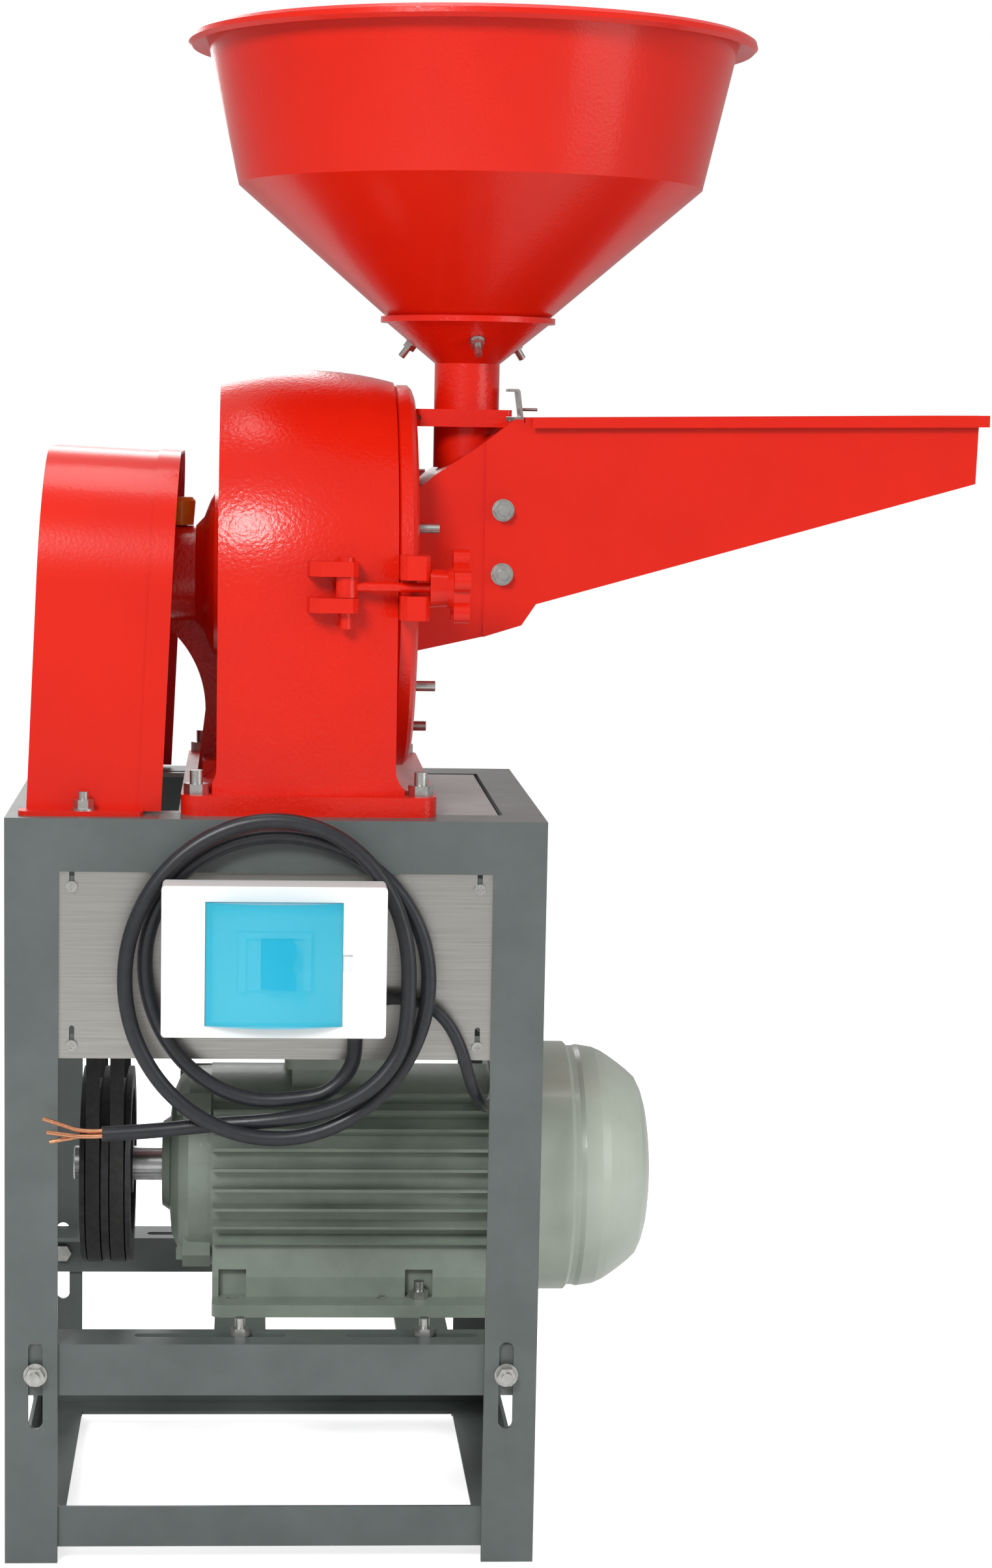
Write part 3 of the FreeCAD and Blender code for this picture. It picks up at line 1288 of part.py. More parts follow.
def feed_tray():
    """The open tapering tray, its rim folded outwards, lapped over the feed box's cheeks."""
    t = TRAY_SHEET
    y0 = FEED_Y0 - t
    y1 = FEED_Y1 + t
    top_low = SPINDLE_Z + 120.0
    top_high = SPINDLE_Z + 126.0
    end_low = SPINDLE_Z + 81.0
    joint_low = SPINDLE_Z - 33.5
    knee = SPINDLE_Z - 17.0
    side = [
        (TRAY_OVERLAP_X, SPINDLE_Z - 43.0),
        (FEED_RIGHT_X + 1, joint_low),
        (FEED_RIGHT_X + 12, knee),
        (TRAY_END_X - 1, end_low),
        (TRAY_END_X, top_high),
        (FEED_RIGHT_X + 1, top_low),
        (FEED_RIGHT_X + 1, top_low + 3.0),
        (381.0, top_low + 3.0),
        (TRAY_OVERLAP_X, top_low - 12.0),
    ]
    cheeks = [prism_xz(side, y0, FEED_Y0), prism_xz(side, FEED_Y1, y1)]
    floor = prism_xz(
        [
            (FEED_RIGHT_X + 1, joint_low),
            (FEED_RIGHT_X + 12, knee),
            (TRAY_END_X - 1, end_low),
            (TRAY_END_X - 1, end_low + t),
            (FEED_RIGHT_X + 11, knee + 1.0 + t),
            (FEED_RIGHT_X + 1, joint_low + 2.0 + t),
        ],
        y0,
        y1,
    )
    end = prism_xz(
        [
            (TRAY_END_X - 1 - t, end_low),
            (TRAY_END_X - 1, end_low),
            (TRAY_END_X, top_high),
            (TRAY_END_X - t, top_high),
        ],
        y0,
        y1,
    )
    out = TRAY_LIP_OUT
    rim_x0 = FEED_RIGHT_X + 6
    rims = []
    low = top_low - 1

    def rim(ya, yb):
        return prism_xz(
            [
                (rim_x0, low),
                (TRAY_END_X + out, top_high - 1),
                (TRAY_END_X + out, top_high + 8),
                (rim_x0, low + 8),
            ],
            ya,
            yb,
        )

    rims.append(rim(y0 - out, y0 + 0.5).cut(rim(y0 - out + t, y0 + 1).translated(V(0, 0, -t))))
    rims.append(rim(y1 - 0.5, y1 + out).cut(rim(y1 - 1, y1 + out - t).translated(V(0, 0, -t))))
    across = rim(y0 - out, y1 + out).cut(rim(y0 - out + t, y1 + out - t).translated(V(-t, 0, -t)))
    keep = box(TRAY_END_X - t, TRAY_END_X + out + 1, y0 - out, y1 + out, top_high - 20, top_high + 20)
    rims.append(across.common(keep))
    lift = prism_xz(
        [
            (FEED_RIGHT_X + 1, top_low - 3),
            (TRAY_END_X, top_high - 3),
            (TRAY_END_X, top_high + 8),
            (FEED_RIGHT_X + 1, low + 8),
        ],
        y0,
        y1,
    )
    hollow = prism_xz(
        [
            (FEED_RIGHT_X, joint_low - 20),
            (TRAY_END_X - t, joint_low - 20),
            (TRAY_END_X - t, top_high + 20),
            (FEED_RIGHT_X, top_high + 20),
        ],
        FEED_Y0,
        FEED_Y1,
    )
    shape = joined(cheeks + [floor, end] + rims + [lift.cut(hollow)])
    return cut_all(shape, tray_bolt_holes())


def feed_gate():
    """The sliding gate: a plate in the neck's slot with a bent handle, drawn out to the right."""
    z0 = FLANGE_Z0 + FLANGE_T + (GATE_SLOT_H - GATE_T) / 2
    z1 = z0 + GATE_T
    plate = box(FLANGE_X0 + 14, FLANGE_X1 + 6, AXIS_Y - GATE_HALF_Y, AXIS_Y + GATE_HALF_Y, z0, z1)
    handle_z = z1 + GATE_HANDLE_H
    handle = prism_xz(
        [
            (FLANGE_X1 + 4, z0),
            (FLANGE_X1 + 11, z0),
            (FLANGE_X1 + 8, handle_z - 1.5),
            (FLANGE_X1 + 6.5, handle_z),
            (FLANGE_X1 - 1.0, handle_z),
            (FLANGE_X1 - 1.0, handle_z - GATE_HANDLE_T),
            (FLANGE_X1 + 5.8, handle_z - GATE_HANDLE_T),
            (FLANGE_X1 + 8.6, z1),
            (FLANGE_X1 + 4, z1),
        ],
        AXIS_Y - 16,
        AXIS_Y + 16,
    )
    wire = rod_x(FLANGE_X1 + 9, FLANGE_X1 + 23, AXIS_Y, z1 + 6, 1.2)
    return joined([plate, handle, wire])


def hopper():
    """Cone, upper frustum and rolled rim, with a spigot inside the funnel."""
    t = SHEET
    z_collar = FUNNEL_Z1 + COLLAR_T
    cone_r = FUNNEL_R1 - NECK_WALL
    outline = [
        (cone_r - 26, FUNNEL_Z1 - 19),
        (cone_r, FUNNEL_Z1),
        (cone_r, z_collar),
        (COLLAR_R, z_collar),
        (COLLAR_R, z_collar + 2),
        (cone_r + 2.5, z_collar + 2),
        (HOPPER_CREASE_R, HOPPER_CREASE_Z),
        (HOPPER_WALL_TOP_R, HOPPER_RIM_Z - 6),
        (HOPPER_RIM_R - 3, HOPPER_RIM_Z - HOPPER_RIM_DROP - 1),
        (HOPPER_RIM_R, HOPPER_RIM_Z - HOPPER_RIM_DROP + 2),
        (HOPPER_RIM_R - 1, HOPPER_RIM_Z - 3),
        (HOPPER_RIM_R - 6, HOPPER_RIM_Z),
        (HOPPER_WALL_TOP_R + 1, HOPPER_RIM_Z),
        (HOPPER_WALL_TOP_R - t - 0.4, HOPPER_RIM_Z - 6),
        (HOPPER_CREASE_R - t, HOPPER_CREASE_Z + 0.8),
        (cone_r - t + 2.0, z_collar + 2.5),
        (cone_r - 26 - t - 0.6, FUNNEL_Z1 - 19),
    ]
    return turned_z(outline, NECK_X, AXIS_Y)


# Swing bolt


def latch_pin():
    half = FIN_GAP / 2 + FIN_T
    pin = rod_z(LATCH_PIN_X, LATCH_Y, SPINDLE_Z - half - LATCH_PIN_BELOW, SPINDLE_Z + half, LATCH_PIN_R)
    head = rod_z(LATCH_PIN_X, LATCH_Y, SPINDLE_Z + half, SPINDLE_Z + half + 3, LATCH_PIN_R + 2)
    return joined([pin, head])


def swing_bolt():
    """A hooked bolt that turns on the vertical pin and lies in the cover's fork."""
    half = FIN_GAP / 2 - SIDE_GAP
    eye = rod_z(LATCH_PIN_X, LATCH_Y, SPINDLE_Z - half, SPINDLE_Z + half, EYE_R)
    knob_end = FORK_X1 + SIDE_GAP + KNOB_HUB_L + KNOB_T
    shank = rod_x(LATCH_PIN_X, knob_end - 3, LATCH_Y, SPINDLE_Z, BOLT_R)
    inner = LATCH_PIN_R + SIDE_GAP
    hole = rod_z(LATCH_PIN_X, LATCH_Y, SPINDLE_Z - half - 1, SPINDLE_Z + half + 1, inner)
    mouth = box(
        LATCH_PIN_X - EYE_R - 1,
        LATCH_PIN_X,
        LATCH_Y - inner,
        LATCH_Y + EYE_R + 1,
        SPINDLE_Z - half - 1,
        SPINDLE_Z + half + 1,
    )
    return cut_all(joined([eye, shank]), [hole, mouth])


def star_knob():
    """A five-lobed knob with its hub against the fork."""
    x0 = FORK_X1 + SIDE_GAP
    hub = turned(
        [(x0, KNOB_HUB_R), (x0 + KNOB_HUB_L - 4, KNOB_HUB_R - 1), (x0 + KNOB_HUB_L, KNOB_HUB_R + 2)],
        LATCH_Y,
        SPINDLE_Z,
    )
    x1 = x0 + KNOB_HUB_L
    core = rod_x(x1, x1 + KNOB_T, LATCH_Y, SPINDLE_Z, KNOB_R - 9)
    lobes = []
    for k in range(KNOB_LOBES):
        angle = math.radians(90 + 360.0 * k / KNOB_LOBES)
        r = KNOB_R - 8
        lobes.append(
            rod_x(x1, x1 + KNOB_T, LATCH_Y + r * math.cos(angle), SPINDLE_Z + r * math.sin(angle), 8)
        )
    bore = rod_x(x0 - 1, x1 + KNOB_T - 3, LATCH_Y, SPINDLE_Z, BOLT_R + RUN_GAP)
    return joined([hub, core] + lobes).cut(bore)


# Belt guard


def guard_profile(inset, x0, x1):
    """The guard's arch in the YZ plane, shrunk by inset, as a solid from x0 to x1."""
    y0 = GUARD_Y0 + inset
    y1 = GUARD_Y1 - inset
    top = GUARD_TOP - inset
    r = GUARD_CORNER_R - inset
    low = DECK_Z - 20
    c = r * math.sqrt(0.5)
    edges = [
        Part.LineSegment(V(x0, y0, low), V(x0, y0, top - r)).toShape(),
        angle_arc(V(x0, y0, top - r), V(x0, y0 + r - c, top - r + c), V(x0, y0 + r, top)),
        Part.LineSegment(V(x0, y0 + r, top), V(x0, y1 - r, top)).toShape(),
        angle_arc(V(x0, y1 - r, top), V(x0, y1 - r + c, top - r + c), V(x0, y1, top - r)),
        Part.LineSegment(V(x0, y1, top - r), V(x0, y1, low)).toShape(),
        Part.LineSegment(V(x0, y1, low), V(x0, y0, low)).toShape(),
    ]
    return Part.Face(Part.Wire(edges)).extrude(V(x1 - x0, 0, 0))


def belt_guard():
    """A sheet arch, closed at the left, leaning a little to the right as it was fitted."""
    x0 = GUARD_X0
    x1 = x0 + GUARD_W
    lip_x1 = x1 + GUARD_LIP_W
    plate_x = x1 - GUARD_PLATE_INSET
    solid = guard_profile(0, x0, x1).cut(guard_profile(GUARD_T, x0 + GUARD_T, x1 + 1))
    plate = guard_profile(GUARD_T / 2, plate_x, plate_x + GUARD_T)
    opening = [
        rod_x(plate_x - 1, plate_x + 4, AXIS_Y, SPINDLE_Z, BEARING_TUBE_R + 5),
        box(plate_x - 1, plate_x + 4, AXIS_Y - BEARING_TUBE_R - 5, AXIS_Y + BEARING_TUBE_R + 5, 0, SPINDLE_Z),
    ]
    lip = guard_profile(-GUARD_LIP_STEP, x1 - 2, lip_x1).cut(
        guard_profile(GUARD_T - GUARD_LIP_STEP, x1 - 3, lip_x1 + 1)
    )
    arch = joined([solid, plate.cut(opening), lip])
    arch.rotate(V((x0 + x1) / 2, 0, DECK_Z), V(0, 1, 0), GUARD_LEAN)
    below = box(-50, STAND_W, -50, STAND_D + 50, DECK_Z - 60, DECK_Z + 2)
    arch = arch.cut(below)
    fx0, fx1 = GUARD_FOOT_X
    feet = [
        soft_box(fx0, fx1, GUARD_Y0 - GUARD_FOOT_D, GUARD_Y0 + 1, DECK_Z, DECK_Z + GUARD_FOOT_T, 6),
        box(fx0 + 8, fx1, GUARD_Y1 - 22, GUARD_Y1 - 1, DECK_Z, DECK_Z + GUARD_FOOT_T),
    ]
    tools = [rod_z(x, y, DECK_Z - 1, DECK_Z + 20, M8_R + HOLE_GAP) for x, y in guard_bolt_places()]
    return cut_all(joined([arch] + feet), tools)


def guard_bolt_places():
    return [(GUARD_BOLT_X, GUARD_Y0 - GUARD_FOOT_D / 2), (GUARD_BOLT_X, GUARD_Y1 - 13)]


def guard_bolts():
    low = DECK_Z - LEG_T
    return [
        bolt((x, y, low), (0, 0, 1), M8_R, LEG_T + GUARD_FOOT_T, 14, 8.5)
        for x, y in guard_bolt_places()
    ]


def discharge_chute():
    """The flour chute under the deck, slanting to the back above the motor."""
    x0, x1, y0, y1 = OUTLET_OPENING
    top = DECK_Z - LEG_T
    flange = box(x0 - 10, x1 + 10, y0 - 10, y1 + 10, top - 2, top)

    def slanted(inset):
        outline = [
            (y0 + inset, top + inset / 2),
            (y1 - inset, top + inset / 2),
            (y1 + 74 - inset, top - 85.5 - inset),
            (y0 + 92 + inset, top - 101.5 - inset),
        ]
        return prism_yz(outline, x0 + inset, x1 - inset)

    shell = joined([flange, slanted(0).common(box(0, STAND_W, 0, STAND_D, top - 150, top))])
    opening = box(x0 + SHEET, x1 - SHEET, y0 + SHEET, y1 - SHEET, top - 4, top + 1)
    return cut_all(shell, [slanted(SHEET), opening])


# Motor and its rails


def motor_rails():
    """Two slotted angles bolted to the legs, flanges inwards at the top."""
    z1 = RAIL_TOP_Z
    z0 = z1 - RAIL_FLANGE
    x0 = LEG_T + 1
    x1 = STAND_W - LEG_T - 1
    y0 = LEG_T + SIDE_GAP
    rail = joined(
        [box(x0, x1, y0, y0 + RAIL_T, z0, z1), box(x0, x1, y0, y0 + RAIL_FLANGE, z1 - RAIL_T, z1)]
    )
    slots = []
    r = RAIL_SLOT_W / 2
    for sx0, sx1 in RAIL_SLOTS:
        slots.append(box(sx0 + r, sx1 - r, RAIL_SLOT_Y - r, RAIL_SLOT_Y + r, z1 - 10, z1 + 1))
        slots.append(rod_z(sx0 + r, RAIL_SLOT_Y, z1 - 10, z1 + 1, r))
        slots.append(rod_z(sx1 - r, RAIL_SLOT_Y, z1 - 10, z1 + 1, r))
    for x in (LEG_SLOT_X, STAND_W - LEG_SLOT_X):
        slots.append(rod_y(x, 0, 20, RAIL_BOLT_Z, M8_R + HOLE_GAP))
    front = cut_all(rail, slots)
    return group([front, mirrored(front, y=STAND_D / 2)])


def rail_bolts():
    """The bolts that clamp the rails to the legs through the upright slots."""
    bolts = []
    for x in (LEG_SLOT_X, STAND_W - LEG_SLOT_X):
        y_in = LEG_T + SIDE_GAP + RAIL_T
        shape = bolt((x, y_in, RAIL_BOLT_Z), (0, -1, 0), M8_R, y_in + SIDE_GAP, 11, 9.0)
        bolts.append(shape)
        bolts.append(mirrored(shape, y=STAND_D / 2))
    return group(bolts)


def crossbars():
    """Flat bars under the rails' flanges, which the motor's feet stand on."""
    z1 = RAIL_TOP_Z - RAIL_T
    bars = []
    for x in CROSSBAR_X:
        y0 = LEG_T + SIDE_GAP + RAIL_T + CROSSBAR_END_GAP
        bar = box(x - CROSSBAR_W / 2, x + CROSSBAR_W / 2, y0, STAND_D - y0, z1 - CROSSBAR_T, z1)
        holes = [rod_z(x, y, 0, z1 + 1, M8_R + HOLE_GAP) for y in (RAIL_SLOT_Y, STAND_D - RAIL_SLOT_Y)]
        holes += [rod_z(fx, fy, 0, z1 + 1, M8_R + HOLE_GAP) for fx, fy in foot_bolt_places()]
        bars.append(cut_all(bar, holes))
    return group(bars)


def crossbar_bolts():
    z1 = RAIL_TOP_Z
    grip = RAIL_T + CROSSBAR_T
    bolts = []
    for x in CROSSBAR_X:
        for y in (RAIL_SLOT_Y, STAND_D - RAIL_SLOT_Y):
            bolts.append(bolt((x, y, z1 - grip), (0, 0, 1), M8_R, grip, 14))
    return bolts


def foot_bolt_places():
    """The two feet bolted down: front right and back left."""
    return [
        (FOOT_HOLE_X[1], AXIS_Y - FOOT_HOLE_HALF_Y),
        (FOOT_HOLE_X[0], AXIS_Y + FOOT_HOLE_HALF_Y),
    ]


def foot_bolts():
    low = RAIL_TOP_Z - RAIL_T - CROSSBAR_T
    return [bolt((x, y, low), (0, 0, 1), M8_R, CROSSBAR_T + FOOT_T, 14) for x, y in foot_bolt_places()]


def motor_frame():
    """The finned barrel on its full-length feet."""
    barrel = rod_x(FRAME_X0, FRAME_X1, AXIS_Y, MOTOR_Z, BARREL_R)
    fins = []
    for k in range(FIN_COUNT):
        angle = 360.0 * k / FIN_COUNT
        if 140 < (angle - 0) % 360 < 220:
            continue
        if min(angle, 360 - angle) < 32:
            continue
        fin = box(
            FRAME_X0 + 2,
            FRAME_X1 - 2,
            AXIS_Y - MOTOR_FIN_T / 2,
            AXIS_Y + MOTOR_FIN_T / 2,
            MOTOR_Z + BARREL_R - 2,
            MOTOR_Z + FIN_TIP_R,
        )
        fin.rotate(V(0, AXIS_Y, MOTOR_Z), V(1, 0, 0), angle)
        fins.append(fin)
    foot_z = MOTOR_Z - SHAFT_HEIGHT
    foot_y1 = 2 * AXIS_Y - FOOT_Y0
    plates = [
        soft_box(FRAME_X0 + 2, FRAME_X1, FOOT_Y0, FOOT_Y0 + 46, foot_z, foot_z + FOOT_T, 6),
        soft_box(FRAME_X0 + 2, FRAME_X1, foot_y1 - 46, foot_y1, foot_z, foot_z + FOOT_T, 6),
    ]
    leg = prism_yz(
        [
            (FOOT_Y0 + 30, foot_z),
            (FOOT_Y0 + 46, foot_z),
            (AXIS_Y - 44, MOTOR_Z - 60),
            (AXIS_Y - 70, MOTOR_Z - 40),
            (FOOT_Y0 + 24, foot_z + 26),
            (FOOT_Y0 + 24, foot_z + FOOT_T - 2),
        ],
        FRAME_X0 + 2,
        FRAME_X1,
    )
    legs_shape = [leg, mirrored(leg, y=AXIS_Y)]
    pad = box(
        TERMINAL_BOX[0] + 6,
        TERMINAL_BOX[1] - 6,
        AXIS_Y - 40,
        AXIS_Y + 40,
        MOTOR_Z + 60,
        TERMINAL_BOX[4],
    )
    holes = [rod_x(FRAME_X0 - 1, FRAME_X1 + 1, AXIS_Y, MOTOR_Z, BARREL_BORE_R)]
    for x in FOOT_HOLE_X + (SPARE_HOLE_X,):
        for side in (-1, 1):
            y = AXIS_Y + side * FOOT_HOLE_HALF_Y
            holes.append(rod_z(x, y, foot_z - 1, foot_z + FOOT_T + 1, M8_R + HOLE_GAP))
    clear = [
        box(x - 11, x + 11, AXIS_Y + side * FOOT_HOLE_HALF_Y - 11, AXIS_Y + side * FOOT_HOLE_HALF_Y + 11,
            foot_z + FOOT_T, foot_z + FOOT_T + 22)
        for x in FOOT_HOLE_X for side in (-1, 1)
    ]
    return cut_all(joined([barrel, pad] + fins + plates + legs_shape), holes + clear)


def motor_bells():
    """The end shields: the drive end shows at the left, the other is under the cowl."""
    front = turned(
        [
            (BELL_X0, BELL_HUB_R),
            (BELL_X0 + 6, BELL_HUB_R + 4),
            (BELL_X0 + 8, BELL_R - 22),
            (BELL_X0 + 14, BELL_R - 8),
            (BELL_X0 + 22, BELL_R),
            (FRAME_X0, BELL_R + 1),
            (FRAME_X0, BARREL_BORE_R - 2),
            (FRAME_X0 + 8, BARREL_BORE_R),
        ],
        AXIS_Y,
        MOTOR_Z,
    )
    lugs = []
    for k in range(4):
        low = MOTOR_Z + BELL_R - 12
        lug = box(FRAME_X0 - 22, FRAME_X0, AXIS_Y - 9, AXIS_Y + 9, low, MOTOR_Z + FIN_TIP_R - 1)
        screw = hexagon(V(FRAME_X0 - 27, AXIS_Y, MOTOR_Z + BELL_R + 5), V(1, 0, 0), 10, 5)
        for shape in (lug, screw):
            shape.rotate(V(0, AXIS_Y, MOTOR_Z), V(1, 0, 0), 45 + 90 * k)
            lugs.append(shape)
    hollow = turned(
        [
            (BELL_X0 + 24, BELL_HUB_R + 6),
            (FRAME_X0 - 6, BARREL_BORE_R - 8),
            (FRAME_X0 + 9, BARREL_BORE_R - 6),
        ],
        AXIS_Y,
        MOTOR_Z,
    )
    hub = rod_x(BELL_X0, BELL_X0 + 6 + MOTOR_BEARING_W + 4, AXIS_Y, MOTOR_Z, BELL_HUB_R)
    shield = joined([front] + lugs).cut(hollow)
    shield = joined([shield, hub])
    seat_x = BELL_X0 + 6
    shield = cut_all(
        shield,
        [
            rod_x(BELL_X0 - 1, FRAME_X0 + 20, AXIS_Y, MOTOR_Z, SHAFT_R + 1),
            rod_x(seat_x, FRAME_X0 + 20, AXIS_Y, MOTOR_Z, MOTOR_BEARING_R),
        ],
    )
    rear_x0 = FRAME_X1 - 8
    rear = joined(
        [
            rod_x(rear_x0, FRAME_X1, AXIS_Y, MOTOR_Z, BARREL_BORE_R),
            rod_x(FRAME_X1, REAR_BELL_X1, AXIS_Y, MOTOR_Z, BARREL_R + 6),
        ]
        + cowl_seats()
    )
    rear = cut_all(
        rear,
        [
            rod_x(rear_x0 - 1, REAR_BELL_X1 + 1, AXIS_Y, MOTOR_Z, SHAFT_R + 1),
            rod_x(rear_x0 - 1, rear_x0 + MOTOR_BEARING_W - 2, AXIS_Y, MOTOR_Z, MOTOR_BEARING_R),
        ],
    )
    return group([shield, rear])


def cowl_seats():
    """Four lugs on the rear shield that the cowl slides over."""
    inside = rod_x(COWL_X0, REAR_BELL_X1, AXIS_Y, MOTOR_Z, COWL_R - COWL_T)
    seats = []
    for k in range(4):
        lug = box(COWL_X0, REAR_BELL_X1, AXIS_Y - 11, AXIS_Y + 11, MOTOR_Z + BARREL_R - 4, MOTOR_Z + COWL_R)
        lug.rotate(V(0, AXIS_Y, MOTOR_Z), V(1, 0, 0), 45 + 90 * k)
        seats.append(lug.common(inside))
    return seats


def motor_bearings():
    rings = []
    for x in (BELL_X0 + 6, FRAME_X1 - 8 - 2):
        rings.append(ring_x(x, x + MOTOR_BEARING_W, AXIS_Y, MOTOR_Z, MOTOR_BEARING_R, SHAFT_R + RUN_GAP))
    return group(rings)


def stator():
    """The laminated ring and its end windings inside the frame."""
    core = ring_x(STATOR_X0, STATOR_X1, AXIS_Y, MOTOR_Z, BARREL_BORE_R, STATOR_BORE_R)
    heads = []
    for x0, x1 in ((STATOR_X0 - 26, STATOR_X0), (STATOR_X1, STATOR_X1 + 26)):
        heads.append(ring_x(x0, x1, AXIS_Y, MOTOR_Z, BARREL_BORE_R - 4, STATOR_BORE_R + 3))
    return joined([core] + heads)


def motor_rotor():
    """The shaft with its cage rotor."""
    shaft = turned([(SHAFT_X0, SHAFT_R - 1), (SHAFT_X0 + 1, SHAFT_R), (SHAFT_X1, SHAFT_R)], AXIS_Y, MOTOR_Z)
    core = rod_x(STATOR_X0, STATOR_X1, AXIS_Y, MOTOR_Z, ROTOR_R)
    rings = [
        ring_x(STATOR_X0 - 10, STATOR_X0, AXIS_Y, MOTOR_Z, ROTOR_R - 2, ROTOR_R - 16),
        ring_x(STATOR_X1, STATOR_X1 + 10, AXIS_Y, MOTOR_Z, ROTOR_R - 2, ROTOR_R - 16),
    ]
    return joined([shaft, core] + rings)


def motor_fan():
    hub = ring_x(FAN_X0, FAN_X0 + FAN_W, AXIS_Y, MOTOR_Z, 26, SHAFT_R)
    plate = ring_x(FAN_X0, FAN_X0 + 3, AXIS_Y, MOTOR_Z, FAN_R, SHAFT_R)
    blades = []
    for k in range(FAN_BLADES):
        blade = box(FAN_X0 + 2, FAN_X0 + FAN_W, AXIS_Y - 1.5, AXIS_Y + 1.5, MOTOR_Z + 24, MOTOR_Z + FAN_R - 2)
        blade.rotate(V(0, AXIS_Y, MOTOR_Z), V(1, 0, 0), 360.0 * k / FAN_BLADES)
        blades.append(blade)
    return joined([hub, plate] + blades)


def cowl_outline():
    return [
        (COWL_X0, COWL_R),
        (440.0, COWL_R),
        (443.0, COWL_R - 3.5),
        (447.0, COWL_R - 3.5),
        (451.0, COWL_R - 2.5),
        (464.0, COWL_R - 4.5),
        (471.0, COWL_R - 7.5),
        (478.0, COWL_R - 12.0),
        (485.0, COWL_R - 17.0),
        (492.0, COWL_R - 22.5),
        (498.0, COWL_R - 28.0),
        (502.0, COWL_R - 36.0),
        (505.0, COWL_R - 46.0),
        (507.0, COWL_R - 58.0),
        (COWL_X1, COWL_R - 72.0),
    ]


def motor_cowl():
    """The domed fan cover with its round air holes in the end."""
    outer = turned(cowl_outline(), AXIS_Y, MOTOR_Z)
    inner = turned([(x - COWL_T, r - COWL_T) for x, r in cowl_outline()], AXIS_Y, MOTOR_Z)
    shell = outer.cut(inner)
    drills = []
    for ring_r, count in ((14.0, 6), (27.0, 12), (40.0, 18)):
        for k in range(count):
            angle = 2 * math.pi * k / count
            drills.append(
                rod_x(495, 515, AXIS_Y + ring_r * math.cos(angle), MOTOR_Z + ring_r * math.sin(angle), 4)
            )
    return shell.cut(drills)


def terminal_box():
    x0, x1, y0, y1, z0, z1 = TERMINAL_BOX
    shell = soft_box(x0, x1, y0, y1, z0, z1, 8)
    hollow = box(x0 + 3, x1 - 3, y0 + 3, y1 - 3, z0 + 3, z1 - 6)
    gland = rod_x(x1 - 3, x1 + 13, AXIS_Y, CABLE_ROUTE[-1][2], GLAND_R + 1)
    way_in = rod_x(x1 - 5, x1 + 14, AXIS_Y, CABLE_ROUTE[-1][2], 2)
    lid = soft_box(x0 - 2, x1 + 2, y0 - 2, y1 + 2, z1 - 5, z1 + 3, 8)
    return cut_all(joined([shell.cut(hollow), gland, lid]), [way_in])


# Breaker box


def breaker_base():
    half_w = BOX_BASE_W / 2
    half_h = BOX_BASE_H / 2
    x0, x1 = BOX_X - half_w, BOX_X + half_w
    z0, z1 = BOX_Z - half_h, BOX_Z + half_h
    shell = soft_box(x0, x1, BOX_STEP_Y, LEG_T, z0, z1, 4, "Y")
    hollow = box(x0 + BOX_WALL, x1 - BOX_WALL, BOX_STEP_Y - 1, LEG_T - BOX_WALL, z0 + BOX_WALL, z1 - BOX_WALL)
    rail = box(BOX_X - 17, BOX_X + 17, LEG_T - BOX_WALL - 7, LEG_T - BOX_WALL, z0 + 4, z1 - 4)
    tools = [
        rod_z(LEAD_EXIT_X, LEAD_EXIT_Y, z0 - 1, z0 + BOX_WALL + 1, 3),
        rod_x(x1 - BOX_WALL - 1, x1 + 1, CABLE_ROUTE[0][1], CABLE_ROUTE[0][2], 3),
    ]
    return cut_all(joined([shell.cut(hollow), rail]), tools)


def cable_glands():
    """The tapered glands of the power lead, downwards, and of the motor cable, to the right."""
    z0 = BOX_Z - BOX_BASE_H / 2
    lead = Part.makeCone(LEAD_R + 2.6, LEAD_R, GLAND_L, V(LEAD_EXIT_X, LEAD_EXIT_Y, z0), V(0, 0, -1))
    x1 = BOX_X + BOX_BASE_W / 2
    first = CABLE_ROUTE[0]
    cable = Part.makeCone(CABLE_R + 2.4, CABLE_R, first[0] - x1, V(x1, first[1], first[2]), V(1, 0, 0))
    return group([lead, cable])


def breaker_cover():
    """The white cover, flush round the window's opening, with a fascia behind the window."""
    half_w = BOX_COVER_W / 2
    half_h = BOX_COVER_H / 2
    x0, x1 = BOX_X - half_w, BOX_X + half_w
    z0, z1 = BOX_Z - half_h, BOX_Z + half_h
    shell = soft_box(x0, x1, BOX_FRONT_Y, BOX_STEP_Y, z0, z1, 3, "Y")
    wall = BOX_WALL
    hollow = box(x0 + wall, x1 - wall, FASCIA_Y + wall, BOX_STEP_Y + 1, z0 + wall, z1 - wall)
    neck = box(
        BOX_X - BOX_BASE_W / 2 + wall,
        BOX_X + BOX_BASE_W / 2 - wall,
        BOX_STEP_Y - wall,
        BOX_STEP_Y,
        BOX_Z - BOX_BASE_H / 2 + wall,
        BOX_Z + BOX_BASE_H / 2 - wall,
    )
    step = box(x0 + wall, x1 - wall, BOX_STEP_Y - wall, BOX_STEP_Y, z0 + wall, z1 - wall).cut(neck)
    wx0, wx1 = WINDOW_X
    wz0, wz1 = WINDOW_Z
    pocket = box(wx0, wx1, BOX_FRONT_Y - 1, FASCIA_Y, wz0, wz1)
    sx0, sx1 = SWITCH_X
    sz0, sz1 = SWITCH_Z
    cutout = box(sx0 - 0.3, sx1 + 0.3, FASCIA_Y - 1, FASCIA_Y + wall + 1, sz0 - 0.3, sz1 + 0.3)
    catch = box(wx1, wx1 + 7, BOX_FRONT_Y - 1, BOX_FRONT_Y + 2, BOX_Z - 6, BOX_Z + 6)
    return cut_all(joined([shell.cut(hollow), step]), [pocket, cutout, catch])


